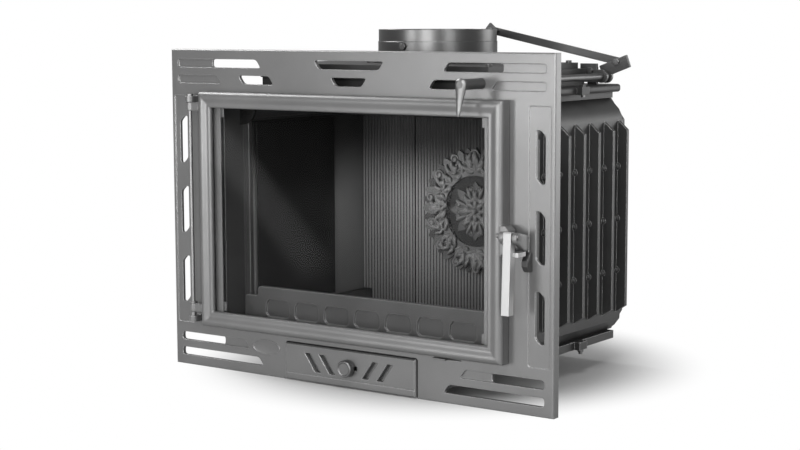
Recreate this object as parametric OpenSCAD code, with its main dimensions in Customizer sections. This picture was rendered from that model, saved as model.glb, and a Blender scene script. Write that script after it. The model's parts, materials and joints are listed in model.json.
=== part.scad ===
// Cast-iron fireplace insert for burning wood: front plate with air slots, glazed door, finned body,
// flue collar with a damper turned by hand, ash drawer with a shutter, secondary-air slider, log guard.
// Millimetres. X to the right, Y to the rear, Z up. Lengths in y start at the face of the front plate.

/* [Fits] */
// overrun of every cut
over_l = 1; // [0.5:0.1:1.5]
// clearance between pieces that are fitted together
fit_gap = 0.05; // [0.02:0.01:0.08]
// gap between pieces that slide past each other
slide_gap = 0.4; // [0.3:0.1:0.5]
// radial clearance of the running pivots
pivot_gap = 0.05; // [0.02:0.01:0.08]
// lap of a seat
lap_w = 4; // [3:0.2:5]
// thickness of ribs, flanges and other plain walls
web_t = 6; // [5:0.2:6.5]

/* [Front plate] */
// width of the front plate
plate_w = 680; // [640:1:740]
// height of the front plate
plate_h = 488; // [470:1:520]
// thickness of the plate's face
plate_t = 6; // [5:0.5:7]
// depth of the rim round the plate
rim_d = 14; // [12:0.5:20]
// thickness of the rim
rim_t = 5; // [3:0.5:7]
// bevel along the front edges of the plate
plate_bevel_w = 1.5; // [0.5:0.1:2.5]
// corner radius of the fire opening
mouth_r = 8; // [4:0.5:12]
// distance from the plate's side to the door
door_side_gap = 70; // [66:0.5:76]
// distance from the plate's top to the door
door_top_gap = 63; // [60:0.5:68]
// height of the door's lower edge above the drawer opening
door_foot_gap = 10; // [9.5:0.5:14]

/* [Air slots of the plate] */
// height of each long slot
slot_h = 12.5; // [9:0.5:15]
// distance between the rows of slots
row_pitch_h = 24; // [22:0.5:27]
// distance of the outer rows from the top and bottom edges
row_edge_gap = 14.5; // [12:0.5:17]
// distance of the slots' outer ends from the side edges
slot_edge_gap = 14; // [12:0.5:20]
// how far a slot's inner end leans over its height
slot_lean_w = 9; // [4:0.5:12]
// rounding of the long slots' corners
slot_r = 4.5; // [1.5:0.5:5]
// depth of the blind stretches
blind_d = 3; // [2:0.5:4]
// length of the top outer slots
top_l = 164; // [150:1:175]
// blind stretch of the top outer slots
top_blind_l = 68; // [50:1:90]
// length of the top middle slot
top_mid_l = 106; // [80:2:130]
// length of the blind slots in the second row
second_blind_l = 86; // [70:1:88]
// distance between the blind and the open slot of the second row
second_gap = 43.5; // [42:0.5:46]
// length of the open slots in the second row
second_l = 58.5; // [50:0.5:62]
// length of the second row's middle slot
second_mid_l = 46; // [30:2:70]
// distance from the drawer opening to the lowest slots
lowest_gap = 43.5; // [35:0.5:60]
// how much shorter the upper bottom slots are
low_step_l = 27; // [15:0.5:40]
// open stretch of the upper bottom slots
low_open_l = 85; // [70:1:95]

/* [Sunk panels beside the door] */
// distance of the side slots from the plate's side
side_slot_edge_gap = 15.5; // [12:0.5:20]
// width of the side slots
side_slot_w = 14.5; // [10:0.5:18]
// distance between side slots
side_slot_gap = 36; // [25:0.5:45]
// distance of the side slots from the ends of the sunk panel
side_slot_end_gap = 31.5; // [20:0.5:40]
// cut-off corner of the side slots
side_slot_cut_w = 8; // [4:0.5:10]
// depth of the sunk panels
panel_sink_d = 1.5; // [0.5:0.1:2]
// width of the sunk panels
panel_w = 34; // [30:0.5:36]
// distance of the sunk panels from the plate's side
panel_edge_gap = 6; // [4:0.5:8]
// how far the sunk panels end below the door's top
panel_drop_h = 7; // [4:0.5:12]

/* [Door] */
// how far the door frame stands in front of the plate
door_proud_d = 22; // [19:0.5:25]
// gap between door frame and plate
door_gap = 1; // [0.8:0.1:1.4]
// how far the door laps over the edge of the fire opening
door_lap_w = 20; // [19:0.5:21]
// width of the door frame from its outer edge to the glass opening
frame_w = 24; // [23.5:0.5:26]
// distance of the rebate for the glass from the outer edge
rebate_in_w = 17; // [16.5:0.1:17.5]
// distance of the rebate's floor from the frame's front
rebate_d = 9; // [8:0.2:10]
// bevel along the door frame's outer edge
frame_bevel_w = 2; // [1:0.1:2.5]
// depth of the hollow in the door frame's face
frame_hollow_d = 4.5; // [3:0.1:5]
// width of the bevelled bead beside the glass
frame_bead_w = 3; // [2:0.5:4]
// thickness of the glass
glass_t = 4; // [3.5:0.1:4.4]
// thickness of the flat seal in front of the glass
glass_seal_t = 1; // [0.6:0.1:1.4]
// thickness of the strips that hold the glass
strip_t = 2; // [1.5:0.1:2.4]
// width of the strips that hold the glass
strip_w = 14; // [10:0.5:18]
// width of the clips that hold the strips
clip_w = 30; // [28:0.5:34]
// height of the clips
clip_h = 14; // [10:0.5:18]
// thickness of the clips
clip_t = 2; // [1.6:0.1:2.2]
// how deep the clips lie below the frame's rear face
clip_sink_d = 0.4; // [0.2:0.1:0.6]
// radius of the clip screws
screw_r = 1.5; // [1.2:0.1:1.8]
// radius of the clip screws' heads
screw_head_r = 2.6; // [2.2:0.1:3]
// width of the rope seal
rope_w = 6; // [5:0.2:6.4]
// depth of the groove for the rope seal
rope_groove_d = 3; // [2:0.2:4]
// distance of the rope seal from the outer edge
rope_in_w = 3; // [2.5:0.1:3.5]
// how far the rope seal stands out behind the frame
rope_proud_d = 0.65; // [0.4:0.05:0.75]

/* [Door hinge] */
// distance of the hinge axis from the door's side
hinge_gap = 20; // [19:0.5:23]
// how far the hinge axis stands in front of the plate
hinge_out_d = 14; // [13:0.2:15]
// radius of the hinge pin
pin_r = 3; // [2.5:0.1:3.5]
// outer radius of the knuckles
knuckle_r = 5.5; // [5:0.1:6]
// height of a knuckle
knuckle_h = 13; // [10:0.5:15]
// thickness of the ears on the plate
ear_t = 9; // [7:0.5:10]
// radius of the ears on the plate
ear_r = 7; // [6.5:0.1:7.5]
// distance of the upper ear's head below the door's upper end
ear_top_gap = 7; // [6:0.5:9]
// distance of the lower ear's foot above the door's lower end
ear_foot_gap = 4; // [3:0.5:6]
// height of the spacer below the lower knuckle
spacer_h = 6.2; // [4:0.1:8]
// height of the hinge pin's head
pin_head_h = 3; // [2:0.5:4]
// gap between knuckle and ear or spacer
knuckle_gap = 0.4; // [0.3:0.1:0.8]

/* [Door lever] */
// how far the lug reaches below the lever's pivot
lug_below_h = 28; // [24:0.5:30]
// how far the lug reaches above the lever's pivot
lug_above_h = 12; // [10:0.5:14]
// thickness of the lug beside the door
lug_t = 13; // [11:0.5:14]
// how far the lug stands in front of the door frame
lug_proud_d = 2; // [1:0.5:3]
// distance of the lug's back from the plate
lug_back_gap = 6; // [5:0.5:7]
// thickness of the ears that hold the lever
ear_plate_t = 7; // [6:0.5:8]
// how far the ears reach below the lever's pivot
ear_drop_h = 20; // [18:0.5:21]
// side length of the square lever
lever_w = 12; // [10:0.5:12.5]
// gap on each side of the lever
lever_gap = 0.8; // [0.4:0.1:1.2]
// length of the lever below its pivot
lever_l = 105; // [90:1:120]
// how far the lever's end swings out to the front
lever_swing_d = 5; // [2:0.5:8]
// how far the lever's pivot stands in front of the plate
lever_out_d = 32; // [31:0.5:34]
// radius of the lever's pivot pin
lever_pin_r = 3; // [2.5:0.1:3.4]
// height of the lever's nose
nose_h = 6; // [5:0.5:6.5]
// gap between the lever's nose and its surroundings
nose_gap = 0.8; // [0.5:0.1:1.2]
// how far the catch stands in front of the plate
catch_d = 12; // [10:0.5:13]
// width of the catch
catch_w = 9; // [7:0.5:10]
// height of the catch
catch_h = 26; // [22:1:30]

/* [Body] */
// how far the side panels lie inside the edge of the fire opening
body_step_w = 14; // [13:0.5:15]
// wall of the side panels
wall_t = 7; // [6.5:0.1:7.4]
// how far a fin stands out
fin_w = 16; // [10:0.5:20]
// thickness of a fin
fin_t = 6; // [4:0.5:8]
// distance of the end fins from the ends of the side panels
fin_margin_l = 8.5; // [8:0.5:12]
// number of fins on each side
fin_count = 8; // [4:1:8]
// radius of the pips at the roots of the fins
pip_r = 5; // [3:0.5:6]
// depth of the ring between plate and body
ring_d = 50; // [48:1:55]
// depth of the side panels
body_d = 331; // [300:1:360]
// thickness of the rear panel
rear_t = 7; // [5:0.5:9]
// how far the side panels start below the drawer opening's top
body_drop_h = 5; // [4:0.5:6]
// height of the side panels above the fire opening
head_gap = 7; // [6.5:0.1:8]
// height of the shoulders
shoulder_h = 33; // [28:0.5:35]
// how far the head of a side panel is drawn in
shoulder_w = 24; // [20:0.5:26]
// height of the feet of the side panels
toe_h = 31; // [28:0.5:33]
// how far the foot of a side panel is drawn in
toe_w = 19; // [16:0.5:22]

/* [Base] */
// thickness of the base plate
base_t = 8; // [6:0.5:9]
// height of the base plate's outer edge
base_edge_h = 12; // [10:0.5:14]
// height of the raised floor over the ash drawer
tunnel_rise_h = 13; // [12:0.5:14]
// distance of the levelling feet from the drawer opening
foot_side_gap = 20.5; // [18:0.5:30]
// distance of the levelling feet from the rear of the side panels
foot_rear_gap = 51; // [45:1:60]
// radius of a levelling foot
foot_r = 14; // [10:0.5:17]
// thickness of a levelling foot
foot_t = 7; // [5:0.5:9]
// radius of a levelling foot's stud
stud_r = 5; // [4:0.5:6]
// height of a levelling foot's nut
nut_h = 7; // [5:0.5:9]
// distance of the tie bolts from the lip
tie_gap = 4; // [3.5:0.5:5]
// length of a lug for a tie bolt
tie_lug_l = 22; // [18:1:26]
// distance of the front tie bolts from the front of the side panels
tie_front_l = 60; // [50:1:80]
// distance of the rear tie bolts from the rear of the side panels
tie_rear_l = 116; // [100:1:130]
// radius of the bolts
bolt_r = 3; // [2.5:0.1:3.4]
// radius of the bolt heads
bolt_head_r = 5; // [4.5:0.1:5.4]
// height of the bolt heads
bolt_head_h = 3.5; // [3:0.1:3.6]

/* [Top and flue] */
// how far the top plate's lip lies inside the side panels
lip_in_w = 8; // [7:0.5:9]
// thickness of the lip
lip_t = 12; // [9:0.5:13]
// height of the neck below the lip
neck_h = 9; // [7:0.5:10]
// how far the neck lies inside the lip
neck_in_w = 11; // [10:0.5:12]
// how far the hood lies inside the neck
hood_in_w = 13; // [12:0.5:15]
// how far the hood's wall is set back under its flange
hood_set_d = 2; // [1:0.5:4]
// thickness of the hood's wall with its flange
hood_wall_t = 14; // [12:0.5:16]
// height of the hood's wall
hood_wall_h = 13; // [11:0.5:14]
// thickness of the hood's flange
hood_flange_t = 12; // [9:0.5:12.5]
// distance of the hood from the rear of the body
hood_rear_gap = 64; // [60:1:68]
// thickness of the cover
cover_t = 9; // [7:0.5:10]
// how far the cover lies inside the hood's sides
cover_in_w = 4; // [3:0.5:6]
// distance of the cover's straight edge from the rear of the hood
cover_rear_gap = 18; // [16:0.5:20]
// how far the cover's round end stands out beyond the collar
cover_round_w = 7; // [6.5:0.5:9]
// outer radius of the flue collar
flue_r = 90; // [80:0.5:90]
// wall of the flue collar
flue_wall_t = 5; // [3:0.5:7]
// height of the flue collar
flue_h = 50; // [46:0.5:60]
// height of the smooth end of the collar
spigot_h = 18; // [14:0.5:19]
// how far the thicker foot of the collar stands out
collar_step_t = 0.8; // [0.5:0.1:1.5]
// thickness of the collar's flange
collar_flange_t = 5; // [4:0.5:7]
// radius of the ears for the collar's bolts
collar_ear_r = 9; // [8:0.5:11]
// distance of the collar's bolts from its wall
collar_bolt_gap = 11; // [10:0.5:13]

/* [Damper] */
// distance of the damper rod from the hood
rod_gap = 20; // [19.5:0.5:24]
// height of the damper rod above the lip
rod_up_h = 13; // [11.5:0.5:14]
// radius of the front shaft
shaft_r = 7.3; // [6.5:0.1:7.5]
// radius of the rod behind the plate
rod_r = 5; // [4:0.2:5.4]
// reach of the damper handle in front of the plate
handle_reach_l = 56; // [50:1:60]
// length of the damper handle's hub
hub_l = 12; // [10:0.5:14]
// how far the hub stands out round the shaft
hub_step_t = 0.9; // [0.5:0.1:1.5]
// thickness of the damper handle
handle_t = 6; // [5:0.5:8]
// width of the damper handle at its hub
handle_w = 16; // [14:0.5:16.4]
// length of the damper handle below its axis
handle_l = 18.4; // [16:0.1:18.6]
// horizontal reach of the cranks' pivots
crank_reach_w = 18.5; // [17:0.5:20]
// vertical reach of the cranks' pivots
crank_reach_h = 22; // [20:0.5:23]
// thickness of the cranks
crank_t = 5; // [4:0.5:5.5]
// width of the cranks
crank_w = 19; // [18.5:0.5:20]
// length of the damper crank's plate
crank_l = 48; // [44:0.5:50]
// lean of the damper crank's plate in degrees
crank_tilt = 20.7; // [18:0.1:22]
// radius of the cranks' hubs
crank_hub_r = 10.5; // [9:0.5:11]
// distance of the cranks from the rear of the hood
crank_gap = 24; // [23.5:0.5:26]
// width of the connecting link
link_w = 11.5; // [10:0.5:13]
// thickness of the connecting link
link_t = 4; // [3:0.5:5]
// gap on each side of the connecting link
link_gap = 0.5; // [0.3:0.1:0.8]
// thickness of the rod's bracket
bracket_t = 5; // [4:0.5:5.5]
// distance of the rod's bracket from the rear of the hood
bracket_gap = 10; // [9.5:0.5:12]
// side length of the rod's bracket
bracket_w = 28; // [26:0.5:29]
// how far the bracket reaches below the rod
bracket_foot_h = 9; // [8:0.5:9.5]
// distance of the flap's shaft below the collar's end
flap_drop_h = 25; // [23:0.5:26]
// thickness of the flap
flap_t = 4; // [3:0.5:5]
// gap between flap and collar
flap_gap = 1; // [0.6:0.1:2]
// wall of the flap's boss round its shaft
flap_boss_t = 3; // [2:0.5:4]
// radial clearance of the link's open pivot
open_gap = 0.45; // [0.3:0.05:0.6]

/* [Ash drawer] */
// width of the drawer opening
drawer_gate_w = 239; // [232:1:244]
// height of the drawer opening
drawer_gate_h = 58; // [56:0.5:60]
// corner radius of the drawer opening
gate_r = 4; // [2:0.5:4.5]
// gap round the drawer front
drawer_gap = 1.6; // [1.4:0.1:2]
// thickness of the drawer front
drawer_front_t = 10; // [8:0.5:11]
// how far the drawer front stands in front of the plate
drawer_proud_d = 4; // [3:0.5:5]
// bevel of the drawer front
drawer_bevel_w = 2; // [1:0.1:2.5]
// height of the groove above the drawer front's foot
groove_up_h = 10; // [8:0.5:12]
// width and depth of the groove
groove_w = 1.5; // [1:0.1:2]
// sheet of the drawer housing
housing_t = 1.2; // [1:0.1:1.5]
// distance of the ash pan from the rear of the side panels
pan_rear_gap = 75; // [70:1:100]
// distance of the ash pan from the drawer front's sides
pan_side_gap = 3; // [2.5:0.5:5]
// wall of the ash pan
pan_wall_t = 1.5; // [1:0.1:2]
// thickness of the air shutter
shutter_t = 2; // [1.5:0.1:2.2]
// width of the air shutter
shutter_w = 156; // [150:1:160]
// height of the air shutter
shutter_h = 38; // [36:0.5:39]
// travel of the air shutter
shutter_travel_l = 12; // [11.5:0.5:12]
// width of the shutter's rails
rail_w = 6; // [4:0.5:7]
// thickness of the shutter's rails
rail_t = 1.5; // [1:0.1:2]
// width of a leaning air slot
air_w = 11; // [8:0.5:11]
// height of a leaning air slot
air_h = 27; // [22:0.5:30]
// how far the air slots lean
air_lean_w = 19; // [15:0.5:20]
// distance of the inner air slots from the middle
air_inner_gap = 24; // [23:0.5:27]
// distance between neighbouring air slots
air_pitch_w = 26.5; // [25:0.5:28]
// radius of the shutter knob's stem
stem_r = 3; // [2.5:0.1:3.5]
// radius of the shutter knob
knob_r = 12.5; // [9:0.5:13.5]
// length of the shutter knob
knob_l = 12; // [10:0.5:14]

/* [Secondary-air slider] */
// distance of the slider's foot below the door
slider_drop_h = 8; // [7.5:0.1:8.2]
// height of the slider
slider_h = 7; // [6:0.5:7.2]
// thickness of the slider
slider_t = 2; // [1.5:0.1:2.5]
// length of the slider on each side of its tab
slider_end_l = 40; // [36:1:44]
// travel of the slider
slider_travel_l = 20; // [12:0.5:22]
// distance of the slider's tab from the drawer opening
tab_side_gap = 31.5; // [28:0.5:35]
// width of the slider's tab
tab_w = 21; // [16:0.5:24]
// thickness of the slider's tab
tab_t = 2; // [1.5:0.1:2.5]
// reach of the slider's tab in front of the plate
tab_out_l = 10; // [8:0.5:14]
// width of the slider's guides
guide_w = 8; // [6:0.5:10]

/* [Fire chamber] */
// thickness of the side liners
side_liner_t = 3.5; // [3:0.1:4]
// length of the thicker front part of the side liners
side_liner_front_l = 205; // [190:1:220]
// thickness of the rear liner
liner_t = 8; // [6:0.5:10]
// distance of the rear liner's face from the rear of the side panels
liner_gap = 43; // [40:0.5:46]
// distance of the rear liner's head below the fire opening's top
liner_drop_h = 30; // [28:1:34]
// distance between flutes
flute_pitch_w = 6; // [5:0.25:8]
// radius of a flute
flute_r = 2.2; // [1.5:0.1:2.4]
// joint between the rear plates
liner_joint_gap = 3; // [2:0.5:4]
// width of the middle rear plate
liner_mid_w = 237; // [220:1:240]
// thickness of the baffle
baffle_t = 6; // [5:0.5:7]
// how far the baffle rises to the front
baffle_rise_h = 9; // [8:0.5:10]
// distance of the baffle from the side panels' front
baffle_front_gap = 150; // [140:1:180]
// gap between the log guard and the side panels
guard_gap = 1; // [0.8:0.1:1.5]
// gap below the log guard
guard_lift_gap = 0.2; // [0.1:0.05:0.3]
// distance of the log guard's ends inside the side panels' outer face
guard_side_gap = 3; // [2.5:0.5:4]
// length of the log guard's shoulders
guard_step_w = 26; // [20:0.5:30]
// height of the log guard
guard_h = 49; // [44:0.5:54]
// how far the guard's shoulders lie below its head
guard_drop_h = 15; // [12:0.5:18]
// thickness of the log guard
guard_t = 8; // [6:0.5:8.5]
// cut-off corners of the log guard
guard_cut_w = 4; // [2:0.5:5]
// width of a pocket in the guard
pocket_w = 47; // [40:0.5:50]
// height of a pocket in the guard
pocket_h = 27; // [22:0.5:29]
// depth of a pocket in the guard
pocket_d = 3.2; // [2:0.2:4]
// cut-off corners of a pocket
pocket_cut_w = 6; // [4:0.5:8]
// distance between pockets
pocket_pitch_w = 56.2; // [54:0.2:58]
// number of pockets
pocket_count = 7; // [3:2:7]
// width of the oval ornament on the rear plate
oval_w = 208; // [180:1:220]
// height of the oval ornament
oval_h = 205; // [180:1:220]
// height of the ornament above the middle of the rear plate
oval_up_h = 7; // [0:1:15]
// thickness of the ornament
oval_t = 6; // [4:0.5:8]
// distance of the grate from the drawer opening's sides
grate_side_gap = 9.5; // [9:0.5:12]
// distance of the grate from the front of the side panels
grate_front_gap = 40; // [36:1:50]
// distance of the grate from the rear liner
grate_rear_gap = 48; // [44:1:60]
// thickness of the grate
grate_t = 4; // [3:0.5:4.5]
// number of bars in the grate
grate_bars = 9; // [5:2:11]

/* [Hidden] */

round_fn = 48;
small_fn = 32;

// half widths, from the plate inwards
plate_half = plate_w / 2;
door_half = plate_half - door_side_gap;
hinge_x = door_half + hinge_gap;
mouth_half = door_half - door_lap_w;
body_half = mouth_half - body_step_w;
lip_half = body_half - lip_in_w;
neck_half = lip_half - neck_in_w;
hood_half = neck_half - hood_in_w;
rod_x = hood_half + rod_gap;
gate_half = drawer_gate_w / 2;
grate_half = gate_half - grate_side_gap;

// heights, from the drawer opening up to the door and from there to the flue
door_z0 = drawer_gate_h + door_foot_gap;
door_z1 = plate_h - door_top_gap;
door_h = door_z1 - door_z0;
door_mid = (door_z0 + door_z1) / 2;
mouth_z0 = door_z0 + door_lap_w;
mouth_z1 = door_z1 - door_lap_w;
body_z0 = drawer_gate_h - body_drop_h;
body_z1 = mouth_z1 + head_gap;
toe_z = body_z0 + toe_h;
shoulder_z = body_z1 - shoulder_h;
lip_z = body_z1 + neck_h;
hood_z = lip_z + lip_t;
hood_flange_z = hood_z + hood_wall_h;
cover_z = hood_flange_z + hood_flange_t;
collar_z = cover_z + cover_t;
collar_top = collar_z + flue_h;
rod_z = hood_z + rod_up_h;
flap_z = collar_top - flap_drop_h;

// depths behind the plate's face
body_y0 = ring_d;
body_y1 = body_y0 + body_d;
rear_y = body_y1 + rear_t;
hood_y0 = body_y0;
hood_y1 = rear_y - hood_rear_gap;
cover_y1 = hood_y1 - cover_rear_gap;
flue_y = hood_y1 - flue_r - cover_round_w;
bracket_y = hood_y1 + bracket_gap;
crank_y = hood_y1 + crank_gap;
rod_y1 = crank_y + crank_t;
link_y = rod_y1 + link_gap;
liner_y = body_y1 - liner_gap;

// the whole part is moved so that its box is centred in y
plate_y = (handle_reach_l - rear_y) / 2;

// places of the air slots
slot_out = plate_half - slot_edge_gap;
row_top = plate_h - row_edge_gap - slot_h;
row_second = row_top - row_pitch_h;
row_low = row_edge_gap + row_pitch_h;
top_blind = slot_out - top_blind_l;
top_in = slot_out - top_l;
second_blind = slot_out - second_blind_l;
second_out = second_blind - second_gap;
second_in = second_out - second_l;
lowest_in = gate_half + lowest_gap;
low_in = lowest_in + low_step_l;
low_open = slot_out - low_open_l;
panel_z0 = door_z0 - door_gap;
panel_z1 = door_z1 - panel_drop_h;
side_slot_h = (panel_z1 - panel_z0 - 2 * side_slot_end_gap - 2 * side_slot_gap) / 3;

// base plate with the raised floor over the drawer
base_z = body_z0 - base_edge_h;
floor_z = body_z0 - base_t;
tunnel_z = body_z0 + tunnel_rise_h;
tunnel_out = gate_half + web_t;
tunnel_y1 = body_y1 - 4 * web_t;
tie_x = lip_half + tie_gap;
tie_rows = [body_y0 + tie_front_l, body_y1 - tie_rear_l];
feet_x = gate_half + foot_side_gap;
feet_y = body_y1 - foot_rear_gap;

// firebox front: the ring between the plate and the body
ring_half = mouth_half - lap_w;
ring_in = ring_half - web_t;
ring_flange_half = mouth_half + 2 * web_t;
sill_z = tunnel_z + 2 * web_t;
ring_z0 = sill_z - web_t;

// door frame, from its face to the rear
frame_y0 = -door_proud_d;
frame_y1 = -door_gap;
seal_y = frame_y0 + rebate_d;
glass_y = seal_y + glass_seal_t;
strip_y = glass_y + glass_t;
clip_y = strip_y + strip_t;
clip_y1 = frame_y1 - clip_sink_d;
clip_x1 = door_half - rope_in_w - rope_w - clip_t / 2;
screw_x = door_half - (rebate_in_w + rope_in_w + rope_w) / 2;
glass_half = door_half - rebate_in_w - fit_gap;
glass_h = door_h - 2 * rebate_in_w - 2 * fit_gap;
open_half = door_half - frame_w;

// hinge
ear_z1 = door_z1 - ear_top_gap - ear_t;
ear_z0 = door_z0 + ear_foot_gap;
pin_top = ear_z1 + ear_t;
knuckle_z1 = ear_z1 - knuckle_gap - knuckle_h;
knuckle_z0 = ear_z0 + ear_t + spacer_h + knuckle_gap;

// door lever and its lug
lever_z = door_mid;
lug_z0 = lever_z - lug_below_h;
lug_z1 = lever_z + lug_above_h;
lug_x1 = door_half + lug_t;
lug_y0 = frame_y0 - lug_proud_d;
lever_x0 = lug_x1 + lever_gap;
lever_x1 = lever_x0 + lever_w;
outer_ear_x = lever_x1 + lever_gap;
outer_ear_x1 = outer_ear_x + ear_plate_t;

// damper linkage
flap_tilt = atan2(crank_reach_h, crank_reach_w);
link_tilt = atan2(flap_z - rod_z, -rod_x);
link_l = sqrt(pow(rod_x, 2) + pow(flap_z - rod_z, 2));
bracket_r = 2 * rod_r;
bracket_bolt_x = rod_x - 0.65 * bracket_w;
bracket_bolt_z = rod_z + bracket_foot_h;

// ash drawer
drawer_half = gate_half - drawer_gap;
drawer_z0 = drawer_gap;
drawer_z1 = drawer_gate_h - drawer_gap;
drawer_y0 = -drawer_proud_d;
drawer_y1 = drawer_y0 + drawer_front_t;
pan_half = drawer_half - pan_side_gap;
pan_y1 = body_y1 - pan_rear_gap;
shutter_z = (drawer_z0 + drawer_z1) / 2 + shutter_t;
shutter_half = shutter_w / 2;
shutter_reach = shutter_half + shutter_travel_l;
shutter_y = drawer_y1 - shutter_t - slide_gap;

// secondary-air slider
slider_z = door_z0 - slider_drop_h;
tab_z = slider_z + (slider_h - tab_t) / 2;
tab_x0 = gate_half + tab_side_gap;
tab_x1 = tab_x0 + tab_w;

// fire chamber
liner_edge = body_half - wall_t - side_liner_t;
liner_z1 = mouth_z1 - liner_drop_h;
guard_y = body_y0 - guard_t - guard_gap;
guard_z0 = sill_z + guard_lift_gap;
guard_z1 = guard_z0 + guard_h;
guard_ear_z = guard_z1 - guard_drop_h;
guard_ear_half = body_half - guard_side_gap;
guard_half = guard_ear_half - guard_step_w;
ornament_z = (tunnel_z + liner_z1) / 2 + oval_up_h;
grate_y0 = body_y0 + grate_front_gap;
grate_y1 = liner_y - grate_rear_gap;
fin_pitch = (body_d - 2 * fin_margin_l - fin_t) / (fin_count - 1);

place() front_plate();
place() firebox_front();
place() side_panel_left();
place() side_panel_right();
place() rear_panel();
place() base_plate();
place() top_plate();
place() hood_cover();
place() flue_collar();
place() collar_bolts();
place() cover_bolts();
place() tie_bolts();
place() levelling_feet();
place() foot_nuts();
place() grate();
place() baffle();
place() rear_liner();
place() rear_liner_left();
place() rear_liner_right();
place() side_liner_left();
place() side_liner_right();
place() oval_ornament();
place() drawer_housing();
place() damper_bracket();
place() bracket_bolt();
place() door_catch();
place() hinge_pin();
place() slider_guides();
place() door_frame();
place() door_glass();
place() door_seal();
place() glass_seal();
place() glass_strips();
place() glass_clips();
place() clip_screws();
place() handle_pin();
place() door_handle();
place() damper_handle();
place() damper_rod();
place() damper_crank();
place() crank_bolt();
place() damper_link();
place() damper_flap();
place() flap_shaft();
place() flap_crank();
place() flap_bolt();
place() drawer_front();
place() ash_pan();
place() shutter_rails();
place() air_shutter();
place() shutter_knob();
place() air_slider();
place() log_guard();

// helpers used by several pieces

// moves a piece from the plate's face to the part's own origin
module place() {
  translate([0, plate_y, 0])
    children();
}

// the children and their mirror image across the middle
module both_sides() {
  children();
  mirror([1, 0, 0])
    children();
}

// an outline in x and z pushed to the rear, from y0 over the depth d
module to_rear(y0, d) {
  translate([0, y0 + d, 0])
    rotate([90, 0, 0])
      linear_extrude(d)
        children();
}

// an outline in y and z pushed to the right, from x0 over the width w
module to_right(x0, w) {
  translate([x0, 0, 0])
    rotate([90, 0, 90])
      linear_extrude(w)
        children();
}

// a cylinder along y, from y0 over the length l
module rod_y(x, z, y0, l, r, sides = small_fn) {
  translate([x, y0 + l, z])
    rotate([90, 0, 0])
      cylinder(h = l, r = r, $fn = sides);
}

// a box from one corner to the other
module box(low, high) {
  translate(low)
    cube(high - low);
}

// a flat rectangle with round corners, centred in x, from z0 to z1
module round_rect(half, z0, z1, r) {
  translate([-half + r, z0])
    square([2 * (half - r), z1 - z0]);
  translate([-half, z0 + r])
    square([2 * half, z1 - z0 - 2 * r]);
  for (x = [-half + r, half - r])
    for (z = [z0 + r, z1 - r])
      translate([x, z])
        circle(r, $fn = small_fn);
}

// a slab behind y = 0 with its four front edges bevelled
module bevel_slab(half, z0, z1, d, c) {
  intersection() {
    to_right(-half, 2 * half)
      polygon([[c, z0], [d, z0], [d, z1], [c, z1], [0, z1 - c], [0, z0 + c]]);
    translate([0, 0, z0])
      linear_extrude(z1 - z0)
        polygon([[c - half, 0], [half - c, 0], [half, c], [half, d], [-half, d], [-half, c]]);
  }
}

// a ring of four bars with mitred corners, its section drawn as (y, distance from the outer edge)
module mitred_ring(half, z0, z1, inward, y0, y1) {
  w = 2 * half;
  h = z1 - z0;
  translate([0, 0, (z0 + z1) / 2])
    for (turn = [0:3]) {
      long = turn % 2 == 0 ? w : h;
      off = turn % 2 == 0 ? h / 2 : w / 2;
      rotate([0, 90 * turn, 0])
        intersection() {
          translate([0, 0, -off])
            to_right(-long / 2, long)
              children();
          translate([0, 0, -off])
            to_rear(y0, y1 - y0)
              polygon([
                [-long / 2, 0], [long / 2, 0], [long / 2 - inward, inward], [inward - long / 2, inward]
              ]);
        }
    }
}

// a hexagon head along z
module hex_head(r, h) {
  cylinder(h = h, r = r, $fn = 6);
}

// the points of an outline with every corner drawn round
function softened(points, r) =
  let (n = len(points))
    [
      for (i = [0:n - 1])
        let (p = points[i], a = points[(i + n - 1) % n] - p, b = points[(i + 1) % n] - p)
          for (t = [0:1 / 3:1])
            p + r * (pow(1 - t, 2) * a / norm(a) + pow(t, 2) * b / norm(b))
    ];

// outline of one long air slot, leaning at its ends
module slot_outline(x0, x1, z, lean0, lean1) {
  polygon(softened([[x0, z], [x1, z], [x1 + lean1, z + slot_h], [x0 + lean0, z + slot_h]], slot_r));
}

// outline of one side slot with two corners cut off
module side_slot_outline(z) {
  x1 = plate_half - side_slot_edge_gap;
  x0 = x1 - side_slot_w;
  z1 = z + side_slot_h;
  c = side_slot_cut_w;
  r = min(slot_r * 2 / 3, (side_slot_w - c) / 2.1);
  polygon(softened([[x0, z + c], [x0 + c, z], [x1, z], [x1, z1 - c], [x1 - c, z1], [x0, z1]], r));
}

// the fixed body

module front_plate() {
  color([0.52, 0.53, 0.54])
    difference() {
      union() {
        difference() {
          bevel_slab(plate_half, 0, plate_h, rim_d, plate_bevel_w);
          box([-plate_half + rim_t, plate_t, rim_t], [plate_half - rim_t, rim_d + over_l, plate_h - rim_t]);
        }
        hinge_ear(ear_z0);
        hinge_ear(ear_z1);
      }
      plate_slots();
      both_sides()
        to_rear(-over_l, over_l + panel_sink_d)
          translate([plate_half - panel_edge_gap - panel_w / 2, 0])
            round_rect(panel_w / 2, panel_z0, panel_z1, web_t / 2);
      to_rear(-over_l, plate_t + 2 * over_l)
        round_rect(mouth_half, mouth_z0, mouth_z1, mouth_r);
      to_rear(-over_l, rim_d + 2 * over_l)
        round_rect(gate_half, -2 * gate_r, drawer_gate_h, gate_r);
      rod_y(rod_x, rod_z, -over_l, plate_t + 2 * over_l, shaft_r + pivot_gap, round_fn);
      box(
        [tab_x0 - slide_gap, -over_l, tab_z - slide_gap],
        [tab_x1 + slider_travel_l + slide_gap, plate_t + over_l, tab_z + tab_t + slide_gap]
      );
    }
}

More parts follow.
